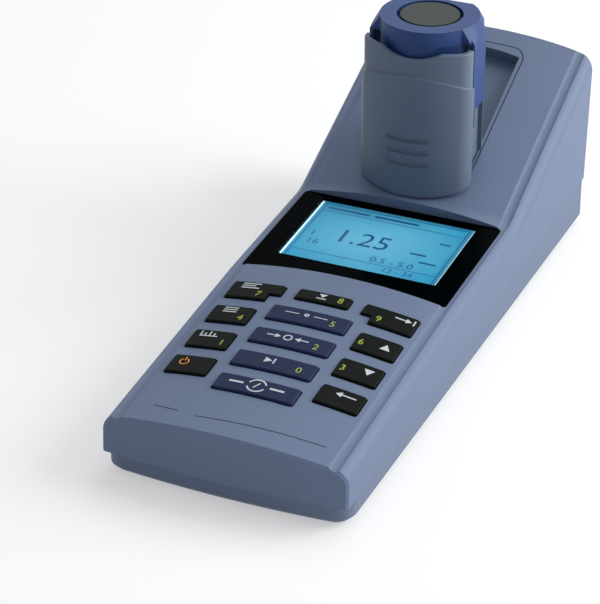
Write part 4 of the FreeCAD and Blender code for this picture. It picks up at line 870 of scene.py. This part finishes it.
def hood_front_shell():
    """The front wall as rows of points on its outside and its lining, joined at rim, foot and ends."""
    work = bmesh.new()
    behind = STEP_DEPTH + HOOD_WALL
    outer = []
    inner = []
    for x, y, out_x, out_y in hood_plan():
        foot = hood_foot(y)
        rim = hood_rim(x)
        wall = []
        for z in hood_heights(foot, rim, step_line(x, y)):
            depth = hood_relief(x, y, z, foot, rim)
            if y > BACK_EDGE_FROM:
                place = (x - math.copysign(depth, x), y, z)
            else:
                place = (x - out_x * depth, y - out_y * depth, z)
            wall.append(work.verts.new(Vector(place) * MM))
        lining = []
        for z in (rim, rim - RIM_LIP, (foot + rim) / 2, foot + FOOT_LIP, foot + FOOT_GAP):
            place = (x - out_x * behind, min(y - out_y * behind, HOOD_BACK), z)
            lining.append(work.verts.new(Vector(place) * MM))
        outer.append(wall)
        inner.append(lining)
    for left, right, left_in, right_in in zip(outer, outer[1:], inner, inner[1:]):
        for near, far in ((left, right), (left_in, right_in)):
            for row in range(len(near) - 1):
                work.faces.new((near[row], far[row], far[row + 1], near[row + 1]))
        work.faces.new((left[-1], right[-1], right_in[0], left_in[0]))
        work.faces.new((left_in[-1], right_in[-1], right[0], left[0]))
    for wall, lining in ((outer[0], inner[0]), (outer[-1], inner[-1])):
        work.faces.new(wall + lining)
    bmesh.ops.recalc_face_normals(work, faces=work.faces)
    mesh = bpy.data.meshes.new("hood_front")
    work.to_mesh(mesh)
    work.free()
    mesh.materials.append(hood_plastic)
    shaded_round(mesh, SHELL_SHARP_FROM)
    return linked("hood_front", mesh)


hood_front = hood_front_shell()
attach(hood_front, "hood")
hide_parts("hood_shell")
finished("hood_sleeve", hood_plastic)

# Slider: satin blue cap with a skirt and two side arms, pushed down over the cell. A plain
# olive-grey disc closes its top, in a ring-shaped gap.
slider_plastic = moulding("slider_plastic", linear(40, 64, 112), 0.42, specular=0.25)
finished("slider", slider_plastic)
disc_plastic = moulding("disc_plastic", linear(52, 60, 58), 0.46, spread=0.07, grain=2000.0, specular=0.15)
finished("cap_disc", disc_plastic)


# Metal parts: turned steel pins in the hood, four housing screws driven up from beneath,
# nickel-plated battery contacts and pressed spring-steel domes under the keys, each with the fine
# lines that its tool left.


def worked_metal():
    """Stamped or turned metal: fine lines in its colour, its gloss and its relief."""
    group = surface_group("worked metal", (("Line Scale", 900.0),))
    join = group.links.new
    given = group.nodes.new("NodeGroupInput").outputs
    result = group.nodes.new("NodeGroupOutput").inputs
    stretch = group.nodes.new("ShaderNodeMapping")
    stretch.inputs["Scale"].default_value = (0.05, 1.0, 1.0)
    join(own_place(group), stretch.inputs["Vector"])
    lines = cloudy(group, stretch.outputs["Vector"], given["Line Scale"], 3.0)
    join(tinted(group, given["Colour"], between(group, lines, 0.82, 1.12)), result["Colour"])
    join(between(group, lines, 0.22, 0.42), result["Roughness"])
    join(lines, result["Height"])
    return group


metal_lines = worked_metal()


def metal(name, colour, lines=900.0):
    """A worked metal of that colour."""
    material, shader = dressed(name, metal_lines, {"Colour": colour, "Line Scale": lines}, 0.25, 0.00003)
    shader.inputs["Metallic"].default_value = 1.0
    return material


screw_steel = metal("screw_steel", linear(176, 180, 184))
finished("guide_pins", screw_steel)


def screw_tree():
    """Screws stood head down on the points of a mesh: cross-recessed head, shank and helical thread."""
    tree = bpy.data.node_groups.new("housing screws", "GeometryNodeTree")
    face = tree.interface
    face.new_socket(name="Points", in_out="INPUT", socket_type="NodeSocketGeometry")
    for title, value in (("Head Radius", 2.7 * MM), ("Head Height", 2.0 * MM), ("Shank Radius", 1.2 * MM),
                         ("Shank Length", 12.0 * MM), ("Thread Depth", 0.28 * MM), ("Turns", 15.0),
                         ("Recess Width", 0.8 * MM), ("Recess Depth", 1.1 * MM)):
        face.new_socket(name=title, in_out="INPUT", socket_type="NodeSocketFloat").default_value = value
    face.new_socket(name="Steel", in_out="INPUT", socket_type="NodeSocketMaterial")
    face.new_socket(name="Screws", in_out="OUTPUT", socket_type="NodeSocketGeometry")
    made = tree.nodes
    join = tree.links.new
    given = made.new("NodeGroupInput").outputs

    def shifted(geometry, height):
        """The shape moved up by the height."""
        offset = made.new("ShaderNodeCombineXYZ")
        join(height, offset.inputs["Z"])
        node = made.new("GeometryNodeTransform")
        join(geometry, node.inputs["Geometry"])
        join(offset.outputs[0], node.inputs["Translation"])
        return node.outputs[0]

    def turned_rod(sides, radius, length):
        """A round rod about the screw's axis."""
        node = made.new("GeometryNodeMeshCylinder")
        node.inputs["Vertices"].default_value = sides
        join(radius, node.inputs["Radius"])
        join(length, node.inputs["Depth"])
        return node.outputs["Mesh"]

    head = shifted(turned_rod(28, given["Head Radius"], given["Head Height"]),
                   reckoned(tree, "MULTIPLY", given["Head Height"], -0.5))
    slots = made.new("GeometryNodeMeshBoolean")
    slots.operation = "DIFFERENCE"
    join(head, slots.inputs["Mesh 1"])
    reach = reckoned(tree, "MULTIPLY", given["Head Radius"], 1.3)
    for wide, deep in ((reach, given["Recess Width"]), (given["Recess Width"], reach)):
        size = made.new("ShaderNodeCombineXYZ")
        join(wide, size.inputs["X"])
        join(deep, size.inputs["Y"])
        join(reckoned(tree, "MULTIPLY", given["Recess Depth"], 2.0), size.inputs["Z"])
        bit = made.new("GeometryNodeMeshCube")
        join(size.outputs[0], bit.inputs["Size"])
        depth = reckoned(tree, "MULTIPLY", given["Head Height"], -1.0)
        join(shifted(bit.outputs["Mesh"], depth), slots.inputs["Mesh 2"])
    shank = shifted(turned_rod(16, given["Shank Radius"], given["Shank Length"]),
                    reckoned(tree, "MULTIPLY", given["Shank Length"], 0.5))
    helix = made.new("GeometryNodeCurveSpiral")
    helix.inputs["Resolution"].default_value = 14
    join(given["Turns"], helix.inputs["Rotations"])
    join(given["Shank Radius"], helix.inputs["Start Radius"])
    join(given["Shank Radius"], helix.inputs["End Radius"])
    join(reckoned(tree, "MULTIPLY", given["Shank Length"], 0.92), helix.inputs["Height"])
    ridge = made.new("GeometryNodeCurvePrimitiveCircle")
    ridge.inputs["Resolution"].default_value = 4
    join(given["Thread Depth"], ridge.inputs["Radius"])
    thread = made.new("GeometryNodeCurveToMesh")
    thread.inputs["Fill Caps"].default_value = True
    join(helix.outputs["Curve"], thread.inputs["Curve"])
    join(ridge.outputs["Curve"], thread.inputs["Profile Curve"])
    parts = made.new("GeometryNodeJoinGeometry")
    for part in (slots.outputs["Mesh"], shank, shifted(thread.outputs["Mesh"], given["Thread Depth"])):
        join(part, parts.inputs["Geometry"])
    stood = made.new("GeometryNodeInstanceOnPoints")
    join(given["Points"], stood.inputs["Points"])
    join(parts.outputs["Geometry"], stood.inputs["Instance"])
    real = made.new("GeometryNodeRealizeInstances")
    join(stood.outputs["Instances"], real.inputs["Geometry"])
    steel = made.new("GeometryNodeSetMaterial")
    join(real.outputs["Geometry"], steel.inputs["Geometry"])
    join(given["Steel"], steel.inputs["Material"])
    join(steel.outputs["Geometry"], made.new("NodeGroupOutput").inputs["Screws"])
    return tree


SCREW_X = 36.2
SCREW_Y = (-106.0, 102.0)
JOINT_HEIGHT = 8.6
JOINT_SLOPE = math.radians(2.2)
SEAT_UNDER_JOINT = 4.0


def screw_seats():
    """Where each screw's head meets its seat: a fixed depth under the sloping joint."""
    seats = []
    for y in SCREW_Y:
        seat = JOINT_HEIGHT + (y + FRONT_END) * math.tan(JOINT_SLOPE) - SEAT_UNDER_JOINT
        seats += [Vector((x, y, seat)) * MM for x in (-SCREW_X, SCREW_X)]
    return seats


seat_mesh = bpy.data.meshes.new("turned_screws")
seat_mesh.from_pydata(screw_seats(), [], [])
screws = linked("turned_screws", seat_mesh)
turning = screws.modifiers.new("screws", "NODES")
turning.node_group = screw_tree()
steel_socket = next(item for item in turning.node_group.interface.items_tree if item.name == "Steel")
turning[steel_socket.identifier] = screw_steel
settled(screws)
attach(screws, "housing")
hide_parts("housing_screws")
contact_nickel = metal("contact_nickel", linear(205, 206, 204), 1500.0)
finished("battery_contacts", contact_nickel)
dome_steel = metal("dome_steel", linear(190, 194, 198), 1800.0)
finished("dome_switches", dome_steel)


# Circuit boards: five plates of green glass-fibre laminate with copper tracks under the varnish,
# fixed inside the housing and on both sides of the shaft.


def laminate():
    """Green varnish over lighter tracks, with the faint weave of the glass in its gloss."""
    material, tree, shader = new_material("board_laminate")
    join = tree.links.new
    place = own_place(tree)
    tracks = tree.nodes.new("ShaderNodeTexBrick")
    tracks.inputs["Scale"].default_value = 130.0
    tracks.inputs["Mortar Size"].default_value = 0.035
    tracks.inputs["Color1"].default_value = linear(24, 92, 58)
    tracks.inputs["Color2"].default_value = linear(20, 84, 52)
    tracks.inputs["Mortar"].default_value = linear(58, 134, 84)
    join(place, tracks.inputs["Vector"])
    join(tracks.outputs["Color"], shader.inputs["Base Color"])
    weave = cloudy(tree, place, 1400.0)
    join(between(tree, weave, 0.28, 0.45), shader.inputs["Roughness"])
    relief_on(tree, shader, tracks.outputs["Fac"], 0.4, 0.00004)
    return material


board_laminate = laminate()
for board in ("display_board", "keypad_board", "main_board", "lamp_board", "detector_board"):
    finished(board, board_laminate)

# Light path: two small lenses in the shaft wall, six clear LEDs on one side and a photodiode in
# black epoxy on the other.
lens_glass, lens_tree, lens_shader = new_material("lens_glass")
lens_shader.inputs["Transmission Weight"].default_value = 1.0
lens_haze = cloudy(lens_tree, own_place(lens_tree), 400.0)
lens_tree.links.new(between(lens_tree, lens_haze, 0.0, 0.06), lens_shader.inputs["Roughness"])
finished("beam_lenses", lens_glass)
led_epoxy = moulding("led_epoxy", linear(216, 212, 196), 0.18, specular=0.5)
finished("lamp_leds", led_epoxy)
sensor_black = moulding("sensor_black", linear(28, 28, 32), 0.25, specular=0.4)
finished("photodiode", sensor_black)

# Battery bay: a black moulded holder with four AA cells in plain jackets, let into the lower
# housing and reached from beneath.
holder_black = moulding("holder_black", linear(32, 34, 36), 0.5)
finished("battery_holder", holder_black)
cell_jacket = moulding("cell_jacket", linear(58, 61, 66), 0.3, spread=0.12, grain=600.0, specular=0.5)
finished("battery_cells", cell_jacket)

# Rear sockets: a data socket and a power socket, moulded in black plastic and pushed through the
# rear wall from inside.
socket_black = moulding("socket_black", linear(26, 27, 28), 0.42)
finished("data_socket", socket_black)
finished("power_socket", socket_black)

# Feet: four round pads of soft black rubber, stuck under the corners of the lower housing, which
# keep it from sliding on the table.
foot_rubber = moulding("foot_rubber", linear(30, 32, 34), 0.8, grain=1200.0)
finished("feet", foot_rubber)
